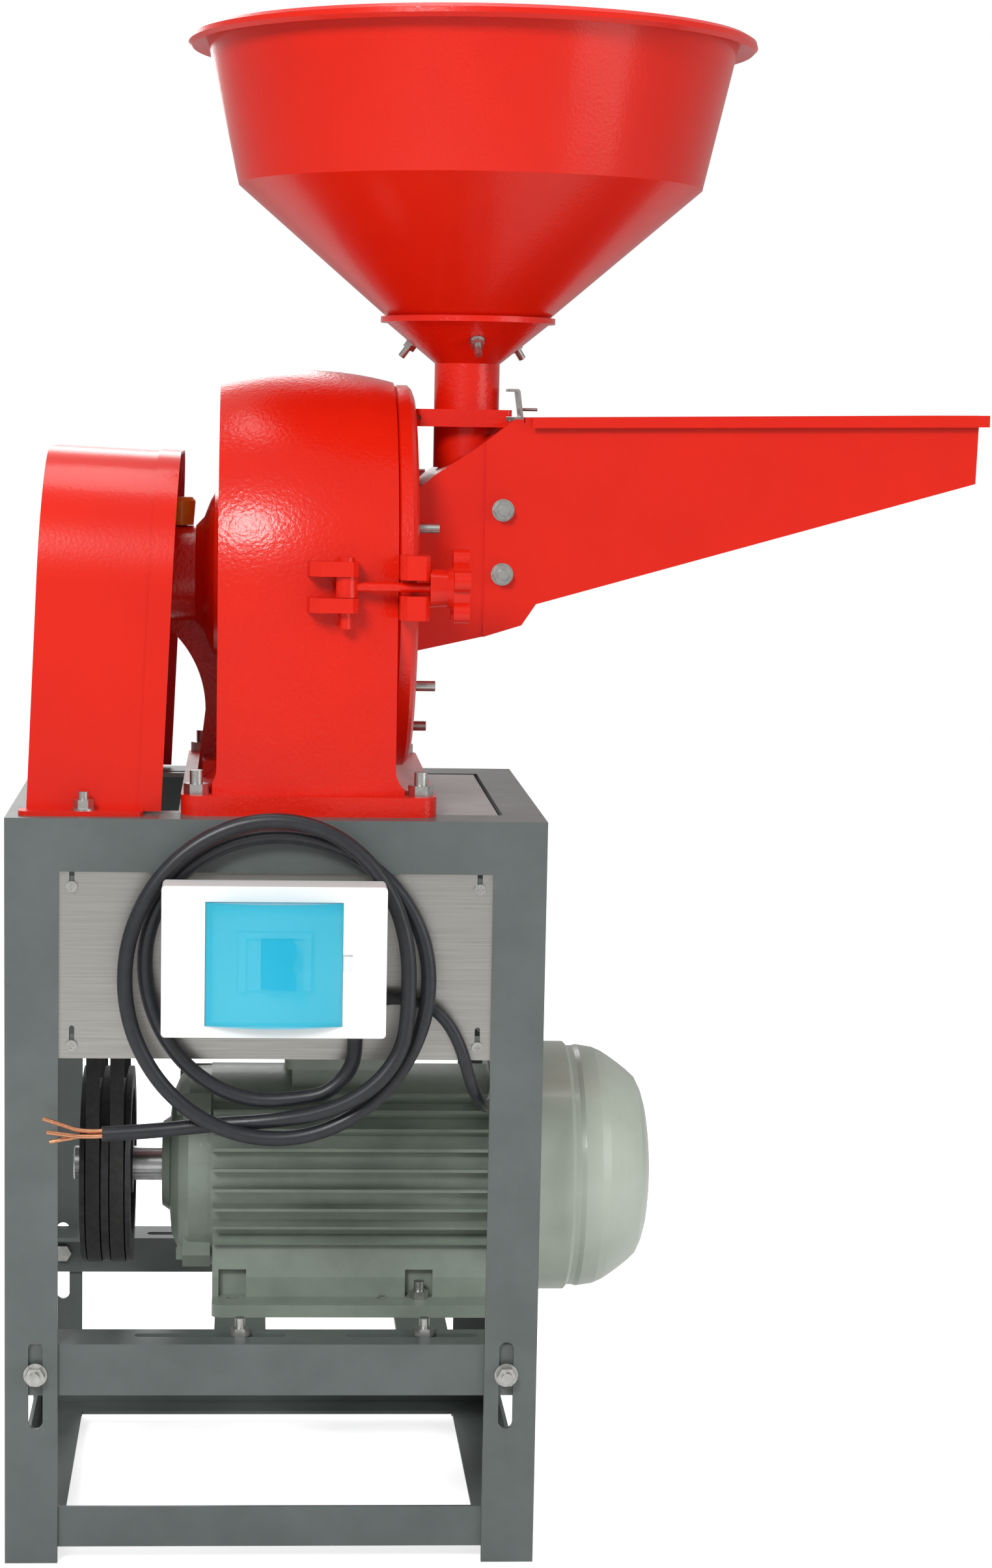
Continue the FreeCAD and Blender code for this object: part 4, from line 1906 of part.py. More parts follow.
def window_arc(x0, x1, bulge, y, z):
    middle = (x0 + x1) / 2
    return angle_arc(V(x0, y, z), V(middle, y - bulge, z), V(x1, y, z))


def breaker_window():
    """The clear curved window, hinged at its left edge."""
    gap = SIDE_GAP
    x0, x1 = WINDOW_X[0] + gap, WINDOW_X[1] - gap
    z0, z1 = WINDOW_Z[0] + gap, WINDOW_Z[1] - gap
    front_y = BOX_FRONT_Y
    back_y = BOX_FRONT_Y + 5

    def bulged(inset, low, high):
        a = x0 + inset
        b = x1 - inset
        edges = [
            window_arc(a, b, WINDOW_BULGE - inset, front_y, low),
            Part.LineSegment(V(b, front_y, low), V(b, back_y + 2 * inset, low)).toShape(),
            Part.LineSegment(V(b, back_y + 2 * inset, low), V(a, back_y + 2 * inset, low)).toShape(),
            Part.LineSegment(V(a, back_y + 2 * inset, low), V(a, front_y, low)).toShape(),
        ]
        return Part.Face(Part.Wire(edges)).extrude(V(0, 0, high - low))

    shell = bulged(0, z0, z1).cut(bulged(WINDOW_T, z0 + WINDOW_T, z1 - WINDOW_T))
    hinge_x = x0 + WINDOW_BARREL_R
    left = box(x0 - 1, hinge_x, front_y - WINDOW_BULGE, back_y + 1, z0 - 1, z1 + 1)
    barrel = rod_z(hinge_x, front_y + WINDOW_BARREL_IN, z0, z1, WINDOW_BARREL_R)
    return joined([shell.cut(left), barrel])


def breaker_switch():
    sx0, sx1 = SWITCH_X
    sz0, sz1 = SWITCH_Z
    rail_y = LEG_T - BOX_WALL - 7
    nose = box(sx0, sx1, SWITCH_FACE_Y, FASCIA_Y + 6, sz0, sz1)
    body = box(sx0, sx1, FASCIA_Y + BOX_WALL, rail_y, BOX_Z - 40, BOX_Z + 40)
    pocket_r = LEVER_REACH - 6
    pocket = rod_z(LEVER_PIVOT_X, LEVER_PIVOT_Y, LEVER_Z[0] - 1, LEVER_Z[1] + 1, pocket_r)
    way_out = box(sx0 + 6, sx1 - 6, SWITCH_FACE_Y - 1, SWITCH_FACE_Y + 3, LEVER_Z[0] - 1, LEVER_Z[1] + 1)
    return cut_all(joined([nose, body]), [pocket, way_out])


def breaker_lever():
    """The blue toggle: a drum with two finger tabs, leaning right at rest."""
    z0, z1 = LEVER_Z
    drum = rod_z(LEVER_PIVOT_X, LEVER_PIVOT_Y, z0, z1, LEVER_REACH - 6.5)
    tabs = []
    for low, high in ((z0 + 1, z0 + 14), (z1 - 14, z1 - 1)):
        tab = prism_xy(
            [
                (LEVER_PIVOT_X - 2, LEVER_PIVOT_Y - 8),
                (LEVER_PIVOT_X + 9, LEVER_PIVOT_Y - 8),
                (LEVER_PIVOT_X + 14, LEVER_PIVOT_Y - LEVER_REACH),
                (LEVER_PIVOT_X + 7, LEVER_PIVOT_Y - LEVER_REACH),
            ],
            low,
            high,
        )
        tabs.append(tab)
    return joined([drum] + tabs)


# Cords


def coil_points():
    """The lead's quarter points with their directions, from its exit round the box."""
    exit_z = BOX_Z - BOX_BASE_H / 2 - GLAND_L
    points = [V(LEAD_EXIT_X, LEAD_EXIT_Y, exit_z - 2 * LEAD_R)]
    ways = [V(0, 0, -1)]
    for right, up, y, heading in COIL_POINTS:
        clockwise = math.radians(heading)
        points.append(V(COIL_X + right, y, COIL_Z + up))
        ways.append(V(math.cos(clockwise), 0, -math.sin(clockwise)))
    return points, ways


def power_lead_coil():
    """Two turns as pairs of arcs, straight for a diameter at each end."""
    points, ways = coil_points()
    start = points[0] - ways[0] * (2 * LEAD_R)
    edges = [Part.LineSegment(start, points[0]).toShape()]
    for k in range(len(points) - 1):
        edges += biarc(points[k], ways[k], points[k + 1], ways[k + 1])
    end = points[-1] + ways[-1] * (2 * LEAD_R)
    edges.append(Part.LineSegment(points[-1], end).toShape())
    ordered = Part.__sortEdges__(edges)
    return swept(ordered, LEAD_R), ordered


def report_gap(edges):
    """Print the coil's length and its least gap to itself."""
    samples = []
    at = 0.0
    for edge in edges:
        count = max(2, int(edge.Length / 3))
        for k in range(count):
            share = k / count
            p = edge.valueAt(edge.FirstParameter + share * (edge.LastParameter - edge.FirstParameter))
            samples.append((at + share * edge.Length, p))
        at += edge.Length
    least = min(
        (p - q).Length
        for s, p in samples
        for t, q in samples
        if t - s > 100
    )
    print("coil length", round(at, 1), "least gap to itself", round(least - 2 * LEAD_R, 2))


def free_tube(name, route, r):
    points = [V(*p) for p in route]
    edges, radii = tube_path(points)
    shape = swept(edges, r)
    length = sum(edge.Length for edge in edges)
    section = math.pi * r * r
    print(
        name,
        "length", round(length, 1),
        "volume ratio", round(shape.Volume / (section * length), 4),
        "radii", [round(value, 1) for value in radii],
    )
    return shape


def lead_cores():
    """The three bared conductors at the lead's end."""
    start = V(*TAIL_ROUTE[-1])
    way = (start - V(*TAIL_ROUTE[-2])).normalize()
    across = way.cross(V(0, 0, 1)).normalize()
    upright = across.cross(way)
    cores = []
    for k, end in enumerate(CORE_ENDS):
        angle = math.radians(90 + 120 * k)
        root = start + across * (CORE_OUT * math.cos(angle)) + upright * (CORE_OUT * math.sin(angle))
        bend = root + way * CORE_STRAIGHT
        edges, _ = tube_path([root, bend, V(*end)])
        cores.append(swept(edges, CORE_R))
    return group(cores)


def under_head_holes():
    """Holes for the mill's and the guard's bolts through the top rails."""
    holes = [rod_z(x, y, DECK_Z - 20, DECK_Z + 1, M10_R + HOLE_GAP) for x, y in base_bolt_places()]
    holes += [rod_z(x, y, DECK_Z - 20, DECK_Z + 1, M8_R + HOLE_GAP) for x, y in guard_bolt_places()]
    return holes


def write(nodes):
    os.makedirs("parts", exist_ok=True)
    shift = V(-ORIGIN_X, -ORIGIN_Y, 0)
    whole = None
    for name, shape in nodes.items():
        placed = shape.translated(shift)
        placed.exportStep(os.path.join("parts", name + ".step"))
        solids = len(placed.Solids)
        state = "ok" if placed.isValid() and solids else "BAD"
        if name not in CORD_NODES:
            bounds = placed.BoundBox
            whole = bounds if whole is None else whole.united(bounds)
        print(name, solids, state, round(sum(s.Volume for s in placed.Solids) / 1000, 1))
    sides = (whole.XMin, whole.XMax, whole.YMin, whole.YMax, whole.ZMin, whole.ZMax)
    print("without cords", [round(value, 2) for value in sides])


CORD_NODES = ("power_lead_coil", "power_lead_tail", "lead_cores", "motor_cable")


def main():
    nodes = {}
    nodes.update(legs())
    nodes["top_rails"] = top_rails(under_head_holes())
    nodes["bottom_rails"] = bottom_rails()
    nodes["deck_plate"] = deck_plate()
    nodes["front_panel"] = front_panel()
    nodes["panel_screws"] = panel_screws()
    nodes["mill_housing"] = mill_housing()
    nodes["hinge_pins"] = hinge_pins()
    nodes["mill_base_bolts"] = mill_base_bolts()
    nodes["bearing_housing"] = bearing_housing()
    nodes["bearing_caps"] = bearing_caps()
    nodes["spindle_bearings"] = spindle_bearings()
    nodes["oil_cap"] = oil_cap()
    nodes["spindle"] = spindle()
    nodes["spindle_pulley"] = grooved_pulley(SPINDLE_PULLEY_R, SPINDLE_R - 1, SPINDLE_Z)
    nodes["claw_disc"] = claw_disc()
    nodes["ring_sieve"] = ring_sieve()
    nodes["mill_cover"] = mill_cover()
    nodes["cover_bolts"] = cover_bolts()
    nodes["fixed_claw_disc"] = fixed_claw_disc()
    nodes["feed_box"] = feed_box()
    nodes["inlet_neck"] = inlet_neck()
    nodes["feed_gate"] = feed_gate()
    nodes["hopper"] = hopper()
    nodes["feed_tray"] = feed_tray()
    nodes["feed_bolts"] = group(funnel_bolts() + tray_bolts())
    nodes["latch_pin"] = latch_pin()
    nodes["swing_bolt"] = swing_bolt()
    nodes["star_knob"] = star_knob()
    nodes["belt_guard"] = belt_guard()
    nodes["guard_bolts"] = group(guard_bolts())
    nodes["discharge_chute"] = discharge_chute()
    nodes["v_belts"] = v_belts()
    nodes["motor_rails"] = motor_rails()
    nodes["rail_bolts"] = rail_bolts()
    nodes["crossbars"] = crossbars()
    nodes["motor_bolts"] = group(crossbar_bolts() + foot_bolts())
    nodes["motor_frame"] = motor_frame()
    nodes["motor_bells"] = motor_bells()
    nodes["motor_bearings"] = motor_bearings()
    nodes["stator"] = stator()
    nodes["motor_cowl"] = motor_cowl()
    nodes["terminal_box"] = terminal_box()
    nodes["motor_rotor"] = motor_rotor()
    nodes["motor_pulley"] = grooved_pulley(MOTOR_PULLEY_R, SHAFT_R, MOTOR_Z)
    nodes["motor_fan"] = motor_fan()
    nodes["breaker_base"] = breaker_base()
    nodes["breaker_cover"] = breaker_cover()
    nodes["breaker_window"] = breaker_window()
    nodes["breaker_switch"] = breaker_switch()
    nodes["breaker_lever"] = breaker_lever()
    nodes["cable_glands"] = cable_glands()
    coil, coil_edges = power_lead_coil()
    report_gap(coil_edges)
    nodes["power_lead_coil"] = coil
    nodes["power_lead_tail"] = free_tube("power lead tail", TAIL_ROUTE, LEAD_R)
    nodes["lead_cores"] = lead_cores()
    nodes["motor_cable"] = free_tube("motor cable", CABLE_ROUTE, CABLE_R)
    write(nodes)


main()
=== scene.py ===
import math

import bmesh
import bpy
from mathutils import Matrix, Vector


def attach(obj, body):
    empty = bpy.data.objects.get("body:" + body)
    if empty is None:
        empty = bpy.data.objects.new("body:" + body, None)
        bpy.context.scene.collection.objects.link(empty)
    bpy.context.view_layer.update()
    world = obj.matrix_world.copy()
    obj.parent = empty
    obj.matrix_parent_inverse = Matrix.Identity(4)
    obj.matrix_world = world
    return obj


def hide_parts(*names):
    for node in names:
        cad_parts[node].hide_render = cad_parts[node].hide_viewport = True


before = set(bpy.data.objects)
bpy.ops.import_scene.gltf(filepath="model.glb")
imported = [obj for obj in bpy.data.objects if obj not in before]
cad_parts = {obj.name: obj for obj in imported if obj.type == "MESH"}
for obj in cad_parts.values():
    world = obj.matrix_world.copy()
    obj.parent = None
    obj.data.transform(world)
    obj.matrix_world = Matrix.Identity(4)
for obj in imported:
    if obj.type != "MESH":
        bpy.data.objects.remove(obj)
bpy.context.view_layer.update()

# The stand's front left foot in the frame, in metres: distances below are given from it, in millimetres
STAND_X = -0.3765
STAND_Y = -0.1695


def place(x, y, z):
    return Vector((x / 1000 + STAND_X, y / 1000 + STAND_Y, z / 1000))


# Camera: angles in radians and a spot in millimetres, fitted to the stand's edges in the photo

YAW = 0.0516
PITCH = 0.1285
ROLL = 0.0157
CAMERA_SPOT = (180.09, -2299.97, 874.71)
SENSOR_WIDTH = 36
FOCAL_LENGTH = 71.49
SHIFT_X = 0.0570
SHIFT_Y = 0.0220
CLIP_END = 60

cam_data = bpy.data.cameras.new("camera")
cam = bpy.data.objects.new("camera", cam_data)
bpy.context.scene.collection.objects.link(cam)
bpy.context.scene.camera = cam
forward = Vector((math.sin(YAW) * math.cos(PITCH), math.cos(YAW) * math.cos(PITCH), -math.sin(PITCH)))
level = Vector((math.cos(YAW), -math.sin(YAW), 0))
above = level.cross(forward)
right = level * math.cos(ROLL) + above * math.sin(ROLL)
up = above * math.cos(ROLL) - level * math.sin(ROLL)
turn = Matrix((right, up, -forward)).transposed()
cam.matrix_world = Matrix.Translation(place(*CAMERA_SPOT)) @ turn.to_4x4()
cam_data.sensor_width = SENSOR_WIDTH
cam_data.lens = FOCAL_LENGTH
cam_data.shift_x = SHIFT_X
cam_data.shift_y = SHIFT_Y
cam_data.clip_end = CLIP_END


# Materials

COAT_ROUGHNESS = 0.08
WINDOW_IOR = 1.49
WINDOW_COVER = 0.50
WINDOW_COAT = 0.6


def new_material(name):
    material = bpy.data.materials.new(name)
    material.use_nodes = True
    tree = material.node_tree
    shader = tree.nodes["Principled BSDF"]
    return material, tree, shader


def add_noise(tree, scale, detail=4.0, rough=0.55, stretch=None):
    """A noise texture on the object's own coordinates, stretched if asked."""
    coords = tree.nodes.new("ShaderNodeTexCoord")
    noise = tree.nodes.new("ShaderNodeTexNoise")
    noise.inputs["Scale"].default_value = scale
    noise.inputs["Detail"].default_value = detail
    noise.inputs["Roughness"].default_value = rough
    source = coords.outputs["Object"]
    if stretch:
        mapping = tree.nodes.new("ShaderNodeMapping")
        mapping.inputs["Scale"].default_value = stretch
        tree.links.new(source, mapping.inputs["Vector"])
        source = mapping.outputs["Vector"]
    tree.links.new(source, noise.inputs["Vector"])
    return noise.outputs["Fac"]


def ramp(tree, source, stops):
    """A colour ramp of (place, colour) stops."""
    node = tree.nodes.new("ShaderNodeValToRGB")
    while len(node.color_ramp.elements) < len(stops):
        node.color_ramp.elements.new(0.5)
    for element, (at, colour) in zip(node.color_ramp.elements, stops):
        element.position = at
        element.color = (*colour, 1)
    tree.links.new(source, node.inputs["Fac"])
    return node.outputs["Color"]


def spread(tree, source, low, high):
    node = tree.nodes.new("ShaderNodeMapRange")
    node.inputs["To Min"].default_value = low
    node.inputs["To Max"].default_value = high
    tree.links.new(source, node.inputs["Value"])
    return node.outputs["Result"]


def add_bump(tree, shader, source, strength, distance, below=None):
    node = tree.nodes.new("ShaderNodeBump")
    node.inputs["Strength"].default_value = strength
    node.inputs["Distance"].default_value = distance
    tree.links.new(source, node.inputs["Height"])
    if below:
        tree.links.new(below.outputs["Normal"], node.inputs["Normal"])
    tree.links.new(node.outputs["Normal"], shader.inputs["Normal"])
    tree.links.new(node.outputs["Normal"], shader.inputs["Coat Normal"])
    return node


def surface(name, light, dark, rough=(0.3, 0.45), metal=0.0, coat=0.0, grain=60.0,
            bumps=(), stretch=None, specular=0.5):
    """A finish whose colour and roughness vary a little, with layers of bump."""
    material, tree, shader = new_material(name)
    tone = add_noise(tree, grain, 5.0, 0.6, stretch)
    tree.links.new(ramp(tree, tone, [(0.3, dark), (0.7, light)]), shader.inputs["Base Color"])
    tree.links.new(spread(tree, tone, rough[1], rough[0]), shader.inputs["Roughness"])
    shader.inputs["Metallic"].default_value = metal
    shader.inputs["Coat Weight"].default_value = coat
    shader.inputs["Coat Roughness"].default_value = COAT_ROUGHNESS
    shader.inputs["Specular IOR Level"].default_value = specular
    below = None
    for scale, strength, distance in bumps:
        below = add_bump(tree, shader, add_noise(tree, scale, 3.0, 0.5, stretch), strength, distance, below)
    return material


RED = surface("red_enamel", (0.72, 0.013, 0.002), (0.66, 0.010, 0.002), rough=(0.26, 0.36), coat=0.35,
              grain=14, bumps=((320, 0.55, 0.0007), (9, 0.12, 0.005)), specular=0.25)
RED_SHEET = surface("red_sheet", (0.70, 0.013, 0.002), (0.64, 0.010, 0.002), rough=(0.28, 0.38), coat=0.25,
                    grain=9, bumps=((380, 0.35, 0.0004), (5, 0.10, 0.007)), specular=0.25)
GREY = surface("stand_grey", (0.112, 0.130, 0.126), (0.088, 0.104, 0.100), rough=(0.32, 0.46), coat=0.15,
               grain=22, bumps=((220, 0.12, 0.0005), (14, 0.08, 0.003)))
DECK = surface("deck_grey", (0.33, 0.35, 0.34), (0.26, 0.28, 0.27), rough=(0.28, 0.42), coat=0.2,
               grain=16, bumps=((200, 0.10, 0.0004),))
MOTOR = surface("motor_grey_green", (0.250, 0.295, 0.245), (0.200, 0.240, 0.198), rough=(0.36, 0.5), coat=0.1,
                grain=30, bumps=((160, 0.25, 0.0009),))
COWL = surface("cowl_paint", (0.47, 0.53, 0.45), (0.40, 0.46, 0.385), rough=(0.28, 0.38), coat=0.2,
               grain=18, bumps=((180, 0.08, 0.0005),))
STAINLESS = surface("brushed_stainless", (0.52, 0.51, 0.48), (0.38, 0.37, 0.35), rough=(0.28, 0.42),
                    metal=1.0, grain=30, stretch=(0.4, 1.0, 30.0), bumps=((60, 0.08, 0.0002),))
ZINC = surface("zinc_plate", (0.60, 0.60, 0.58), (0.42, 0.42, 0.40), rough=(0.26, 0.42), metal=1.0,
               grain=180, bumps=((400, 0.15, 0.0003),))
STEEL = surface("ground_steel", (0.62, 0.62, 0.63), (0.50, 0.50, 0.51), rough=(0.18, 0.32), metal=1.0,
                grain=90, bumps=((300, 0.1, 0.0002),))
IRON = surface("cast_iron_black", (0.055, 0.055, 0.060), (0.030, 0.030, 0.033), rough=(0.45, 0.65), metal=0.4,
               grain=120, bumps=((260, 0.3, 0.0006),))
LAMINATIONS = surface("lamination_steel", (0.30, 0.30, 0.31), (0.2, 0.2, 0.21), rough=(0.4, 0.5), metal=1.0,
                      grain=60, stretch=(40.0, 1.0, 1.0), bumps=((80, 0.2, 0.0003),))
WHITE = surface("box_white", (0.86, 0.87, 0.86), (0.82, 0.83, 0.82), rough=(0.22, 0.30), grain=12,
                bumps=((500, 0.04, 0.0002),))
BLUE = surface("toggle_blue", (0.010, 0.145, 0.62), (0.008, 0.115, 0.54), rough=(0.20, 0.28), grain=40,
               bumps=((500, 0.04, 0.0002),))
BLACK = surface("fan_black", (0.028, 0.028, 0.030), (0.018, 0.018, 0.020), rough=(0.4, 0.55), grain=60,
                bumps=((300, 0.1, 0.0003),))
ORANGE = surface("oil_cap_orange", (0.72, 0.30, 0.015), (0.60, 0.23, 0.010), rough=(0.2, 0.3), coat=0.3,
                 grain=60, bumps=((200, 0.1, 0.0004),))
RUBBER = surface("lead_sheath", (0.022, 0.023, 0.028), (0.013, 0.014, 0.018), rough=(0.30, 0.46), grain=120,
                 bumps=((350, 0.18, 0.0003),))
BELT = surface("belt_rubber", (0.030, 0.029, 0.028), (0.018, 0.018, 0.018), rough=(0.55, 0.75), grain=160,
               bumps=((500, 0.4, 0.0005),))
COPPER = surface("bare_copper", (0.85, 0.42, 0.24), (0.68, 0.30, 0.16), rough=(0.22, 0.35), metal=1.0,
                 grain=300, bumps=((900, 0.3, 0.0003),))


def window_material():
    """Clear blue sheet that partly covers what is behind it."""
    material, tree, shader = new_material("clear_blue_window")
    tone = add_noise(tree, 8, 2.0, 0.4)
    tree.links.new(ramp(tree, tone, [(0.3, (0.00, 0.58, 0.82)), (0.7, (0.00, 0.64, 0.88))]),
                   shader.inputs["Base Color"])
    shader.inputs["Roughness"].default_value = 0.06
    shader.inputs["IOR"].default_value = WINDOW_IOR
    shader.inputs["Alpha"].default_value = WINDOW_COVER
    shader.inputs["Coat Weight"].default_value = WINDOW_COAT
    return material


WINDOW = window_material()

NODE_MATERIALS = {
    RED: ("mill_housing", "bearing_housing", "mill_cover", "inlet_neck", "latch_pin", "swing_bolt",
          "hinge_pins"),
    RED_SHEET: ("feed_box", "hopper", "feed_tray", "belt_guard", "star_knob"),
    GREY: ("leg_front_left", "leg_front_right", "leg_back_left", "leg_back_right", "top_rails",
           "bottom_rails", "motor_rails", "crossbars", "discharge_chute"),
    DECK: ("deck_plate",),
    STAINLESS: ("front_panel",),
    ZINC: ("panel_screws", "mill_base_bolts", "cover_bolts", "guard_bolts", "rail_bolts", "motor_bolts",
           "feed_bolts", "feed_gate", "bearing_caps"),
    STEEL: ("spindle", "spindle_bearings", "motor_bearings", "ring_sieve", "motor_rotor"),
    IRON: ("claw_disc", "fixed_claw_disc", "spindle_pulley", "motor_pulley"),
    MOTOR: ("motor_frame", "motor_bells", "terminal_box"),
    COWL: ("motor_cowl",),
    LAMINATIONS: ("stator",),
    BLACK: ("motor_fan", "cable_glands"),
    WHITE: ("breaker_base", "breaker_cover", "breaker_switch"),
    WINDOW: ("breaker_window",),
    BLUE: ("breaker_lever",),
    ORANGE: ("oil_cap",),
    BELT: ("v_belts",),
}

for material, names in NODE_MATERIALS.items():
    for name in names:
        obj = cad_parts[name]
        obj.data.materials.clear()
        obj.data.materials.append(material)

# Cords, in millimetres from the stand's corner: the motor cable's points are those of part.py, and the
# power lead's are close to the ones there


def spline_object(name, points, radius, material):
    curve = bpy.data.curves.new(name, "CURVE")
    curve.dimensions = "3D"
    curve.bevel_depth = radius / 1000
    curve.bevel_resolution = 5
    curve.resolution_u = 12
    spline = curve.splines.new("NURBS")
    spline.points.add(len(points) - 1)
    for target, point in zip(spline.points, points):
        target.co = (*place(*point), 1)
    spline.order_u = 3
    spline.use_endpoint_u = True
    curve.use_fill_caps = True
    obj = bpy.data.objects.new(name, curve)
    bpy.context.scene.collection.objects.link(obj)
    obj.data.materials.append(material)
    return obj


COIL_X = 203.0
COIL_Z = 458.0
CORNER_Y = -22.4
COIL_QUARTERS = (
    (0.0, -94.0, -15.0),
    (-98.0, 12.0, -13.0),
    (0.0, 106.5, -9.5),
    (113.5, 0.0, -18.5),
    (0.0, -119.0, -27.0),
    (-112.5, 0.0, -22.8),
    (0.0, 119.5, CORNER_Y),
    (98.0, 6.0, -29.3),
)
# Quarters that keep their y to half way, to pass each other behind the box's front
HELD_Y = {2: -10.0, 6: CORNER_Y}
LEAD_EXIT = (262.0, -15.0, 411.0)
LEAD_START = (
    LEAD_EXIT,
    (262.0, -15.0, 400.0),
    (257.5, -15.0, 387.0),
    (247.0, -15.0, 375.5),
    (232.0, -15.0, 367.5),
)
TAIL_ROUTE = (
    (301.0, -32.0, 427.0),
    (293.0, -34.5, 401.0),
    (273.0, -36.5, 377.5),
    (240.0, -31.0, 359.5),
    (197.0, -18.5, 350.0),
    (155.0, -13.5, 346.5),
    (111.0, -15.0, 341.5),
    (74.0, -18.0, 340.0),
)
MOTOR_CABLE_ROUTE = (
    (290.0, -6.5, 442.0),
    (301.5, -6.5, 442.0),
    (313.0, -6.5, 439.0),
    (323.5, -6.5, 432.5),
    (332.5, -7.0, 423.0),
    (339.5, -7.5, 410.5),
    (345.0, -7.0, 396.0),
    (350.0, -1.0, 377.5),
    (357.5, 13.0, 360.5),
    (365.5, 33.0, 349.5),
    (372.5, 57.0, 350.0),
    (377.0, 83.0, 360.0),
    (378.0, 110.0, 373.0),
    (376.0, 134.0, 384.0),
    (369.0, 156.0, 391.0),
    (359.0, 173.0, 394.0),
    (345.0, 184.0, 394.0),
    (330.0, 188.0, 394.0),
    (315.0, 188.0, 394.0),
)
# The coil's control points stand this much outside the ellipse that the curve follows
RING_SHARE = 1.035
QUARTER_ANGLES = (15, 45, 75)
LEAD_RADIUS = 5.75
CABLE_RADIUS = 4.75


def eased(low, high, share):
    return low + (high - low) * share * share * (3 - 2 * share)


def coil_route():
    """Three control points to each quarter turn, round the quarter's own ellipse."""
    points = []
    for k in range(len(COIL_QUARTERS) - 1):
        x0, z0, y0 = COIL_QUARTERS[k]
        x1, z1, y1 = COIL_QUARTERS[k + 1]
        middle_x, middle_z = (x0, z1) if k % 2 == 0 else (x1, z0)
        for angle in QUARTER_ANGLES:
            share = angle / 90
            c = math.cos(math.radians(angle)) * RING_SHARE
            s = math.sin(math.radians(angle)) * RING_SHARE
            x = middle_x + (x0 - middle_x) * c + (x1 - middle_x) * s
            z = middle_z + (z0 - middle_z) * c + (z1 - middle_z) * s
            if k not in HELD_Y:
                y = eased(y0, y1, share)
            elif share <= 0.5:
                y = eased(y0, HELD_Y[k], 2 * share)
            else:
                y = eased(HELD_Y[k], y1, 2 * share - 1)
            points.append((COIL_X + x, y, COIL_Z + z))
    return points


lead_points = list(LEAD_START) + coil_route() + list(TAIL_ROUTE)
lead = spline_object("power_lead", lead_points, LEAD_RADIUS, RUBBER)
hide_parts("power_lead_coil", "power_lead_tail")
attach(lead, "stand")

cable = spline_object("motor_lead", MOTOR_CABLE_ROUTE, CABLE_RADIUS, RUBBER)
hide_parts("motor_cable")
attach(cable, "stand")

# The lead's bared cores, fanned out a little from the tail's end

TAIL_END = TAIL_ROUTE[-1]
CORE_RADIUS = 1.6
CORE_CIRCLE = 2.4
CORE_BEND = (-14.0, -1.1, -0.6)
CORE_ENDS = ((30.0, -20.0, 352.0), (33.0, -26.0, 343.0), (35.0, -19.0, 334.0))
for index, end in enumerate(CORE_ENDS):
    angle = math.radians(90 + 120 * index)
    across = CORE_CIRCLE * math.cos(angle)
    upward = CORE_CIRCLE * math.sin(angle)
    root = (TAIL_END[0], TAIL_END[1] + across, TAIL_END[2] + upward)
    bend = tuple(a + b for a, b in zip(root, CORE_BEND))
    middle = tuple((a + b) / 2 for a, b in zip(bend, end))
    core = spline_object("bare_core_%d" % (index + 1), [root, bend, middle, end], CORE_RADIUS, COPPER)
    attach(core, "stand")
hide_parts("lead_cores")

# Floor, world and light

FLOOR_REACH = 6
# What the camera sees of the floor is lifted to white, while its shadows stay
FLOOR_GLOW = 0.74
# The world lights the part at the first strength and is seen at the second
WORLD_LIGHT = 0.42
WORLD_SHOWN = 1.0


def floor_material():
    material, tree, shader = new_material("pale_floor")
    tone = add_noise(tree, 2.0, 3.0, 0.5)
    tree.links.new(ramp(tree, tone, [(0.2, (0.80, 0.80, 0.80)), (0.8, (0.84, 0.84, 0.84))]),
                   shader.inputs["Base Color"])
    shader.inputs["Roughness"].default_value = 0.75
    rays = tree.nodes.new("ShaderNodeLightPath")
    glow = tree.nodes.new("ShaderNodeMath")
    glow.operation = "MULTIPLY"
    glow.inputs[1].default_value = FLOOR_GLOW
    tree.links.new(rays.outputs["Is Camera Ray"], glow.inputs[0])
    shader.inputs["Emission Color"].default_value = (1, 1, 1, 1)
    tree.links.new(glow.outputs[0], shader.inputs["Emission Strength"])
    return material


def stage_plane(name, corners, material):
    mesh = bpy.data.meshes.new(name)
    bm = bmesh.new()
    bm.faces.new([bm.verts.new(c) for c in corners])
    bm.to_mesh(mesh)
    bm.free()
    obj = bpy.data.objects.new(name, mesh)
    bpy.context.scene.collection.objects.link(obj)
    obj.data.materials.append(material)


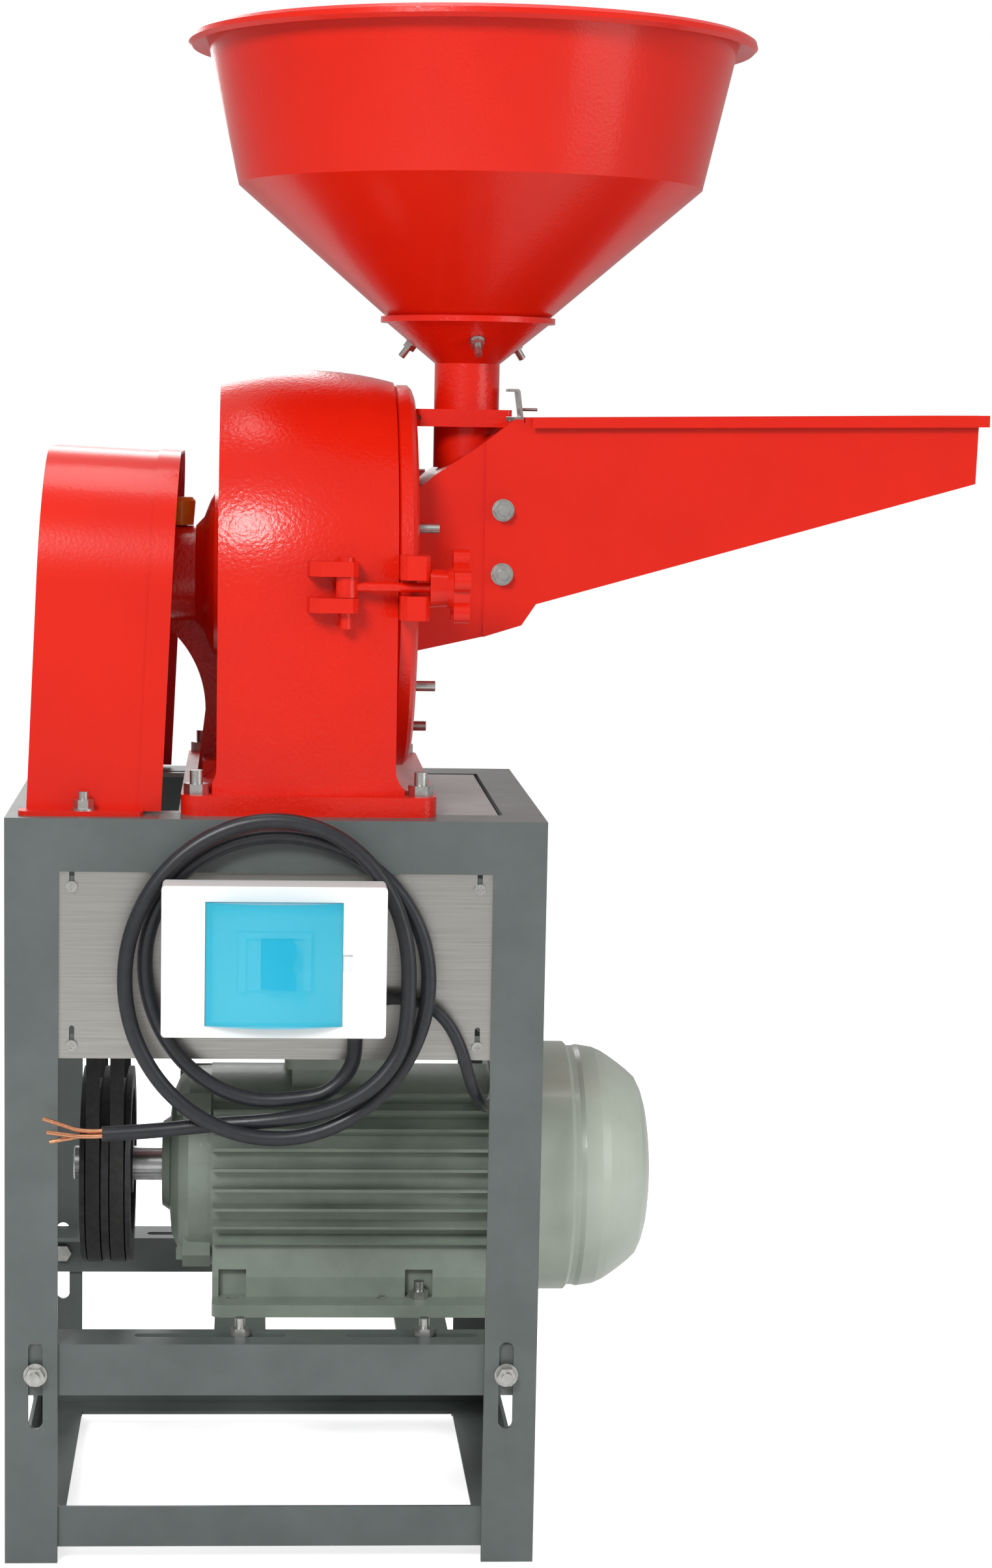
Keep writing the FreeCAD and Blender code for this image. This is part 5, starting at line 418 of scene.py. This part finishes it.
floor_corners = [
    (-FLOOR_REACH, -FLOOR_REACH, 0),
    (FLOOR_REACH, -FLOOR_REACH, 0),
    (FLOOR_REACH, FLOOR_REACH, 0),
    (-FLOOR_REACH, FLOOR_REACH, 0),
]
stage_plane("floor", floor_corners, floor_material())

world = bpy.data.worlds.new("studio")
bpy.context.scene.world = world
world.use_nodes = True
wt = world.node_tree
background = wt.nodes["Background"]
background.inputs["Color"].default_value = (1, 1, 1, 1)
background.inputs["Strength"].default_value = WORLD_LIGHT
shown = wt.nodes.new("ShaderNodeBackground")
shown.inputs["Color"].default_value = (1, 1, 1, 1)
shown.inputs["Strength"].default_value = WORLD_SHOWN
rays = wt.nodes.new("ShaderNodeLightPath")
either = wt.nodes.new("ShaderNodeMath")
either.operation = "MAXIMUM"
wt.links.new(rays.outputs["Is Camera Ray"], either.inputs[0])
wt.links.new(rays.outputs["Is Transmission Ray"], either.inputs[1])
blend = wt.nodes.new("ShaderNodeMixShader")
wt.links.new(either.outputs[0], blend.inputs["Fac"])
wt.links.new(background.outputs["Background"], blend.inputs[1])
wt.links.new(shown.outputs["Background"], blend.inputs[2])
wt.links.new(blend.outputs["Shader"], wt.nodes["World Output"].inputs["Surface"])


def area_light(name, at, target, size, power):
    data = bpy.data.lights.new(name, "AREA")
    data.shape = "RECTANGLE"
    data.size, data.size_y = size
    data.energy = power
    obj = bpy.data.objects.new(name, data)
    bpy.context.scene.collection.objects.link(obj)
    obj.location = at
    aim = Vector(target) - Vector(at)
    obj.rotation_euler = aim.to_track_quat("-Z", "Y").to_euler()


area_light("key", at=(-1.2, -2.6, 2.3), target=(0, 0, 0.65), size=(0.9, 0.9), power=66)
area_light("fill", at=(2.2, -1.6, 1.2), target=(0, 0, 0.6), size=(1.4, 2.0), power=18)
area_light("top", at=(0.1, 0.2, 2.9), target=(0, 0, 0.6), size=(1.6, 1.2), power=26)
area_light("rear", at=(-0.8, 2.4, 1.8), target=(0, 0, 0.7), size=(1.6, 1.2), power=22)

bpy.context.scene.view_settings.view_transform = "Standard"
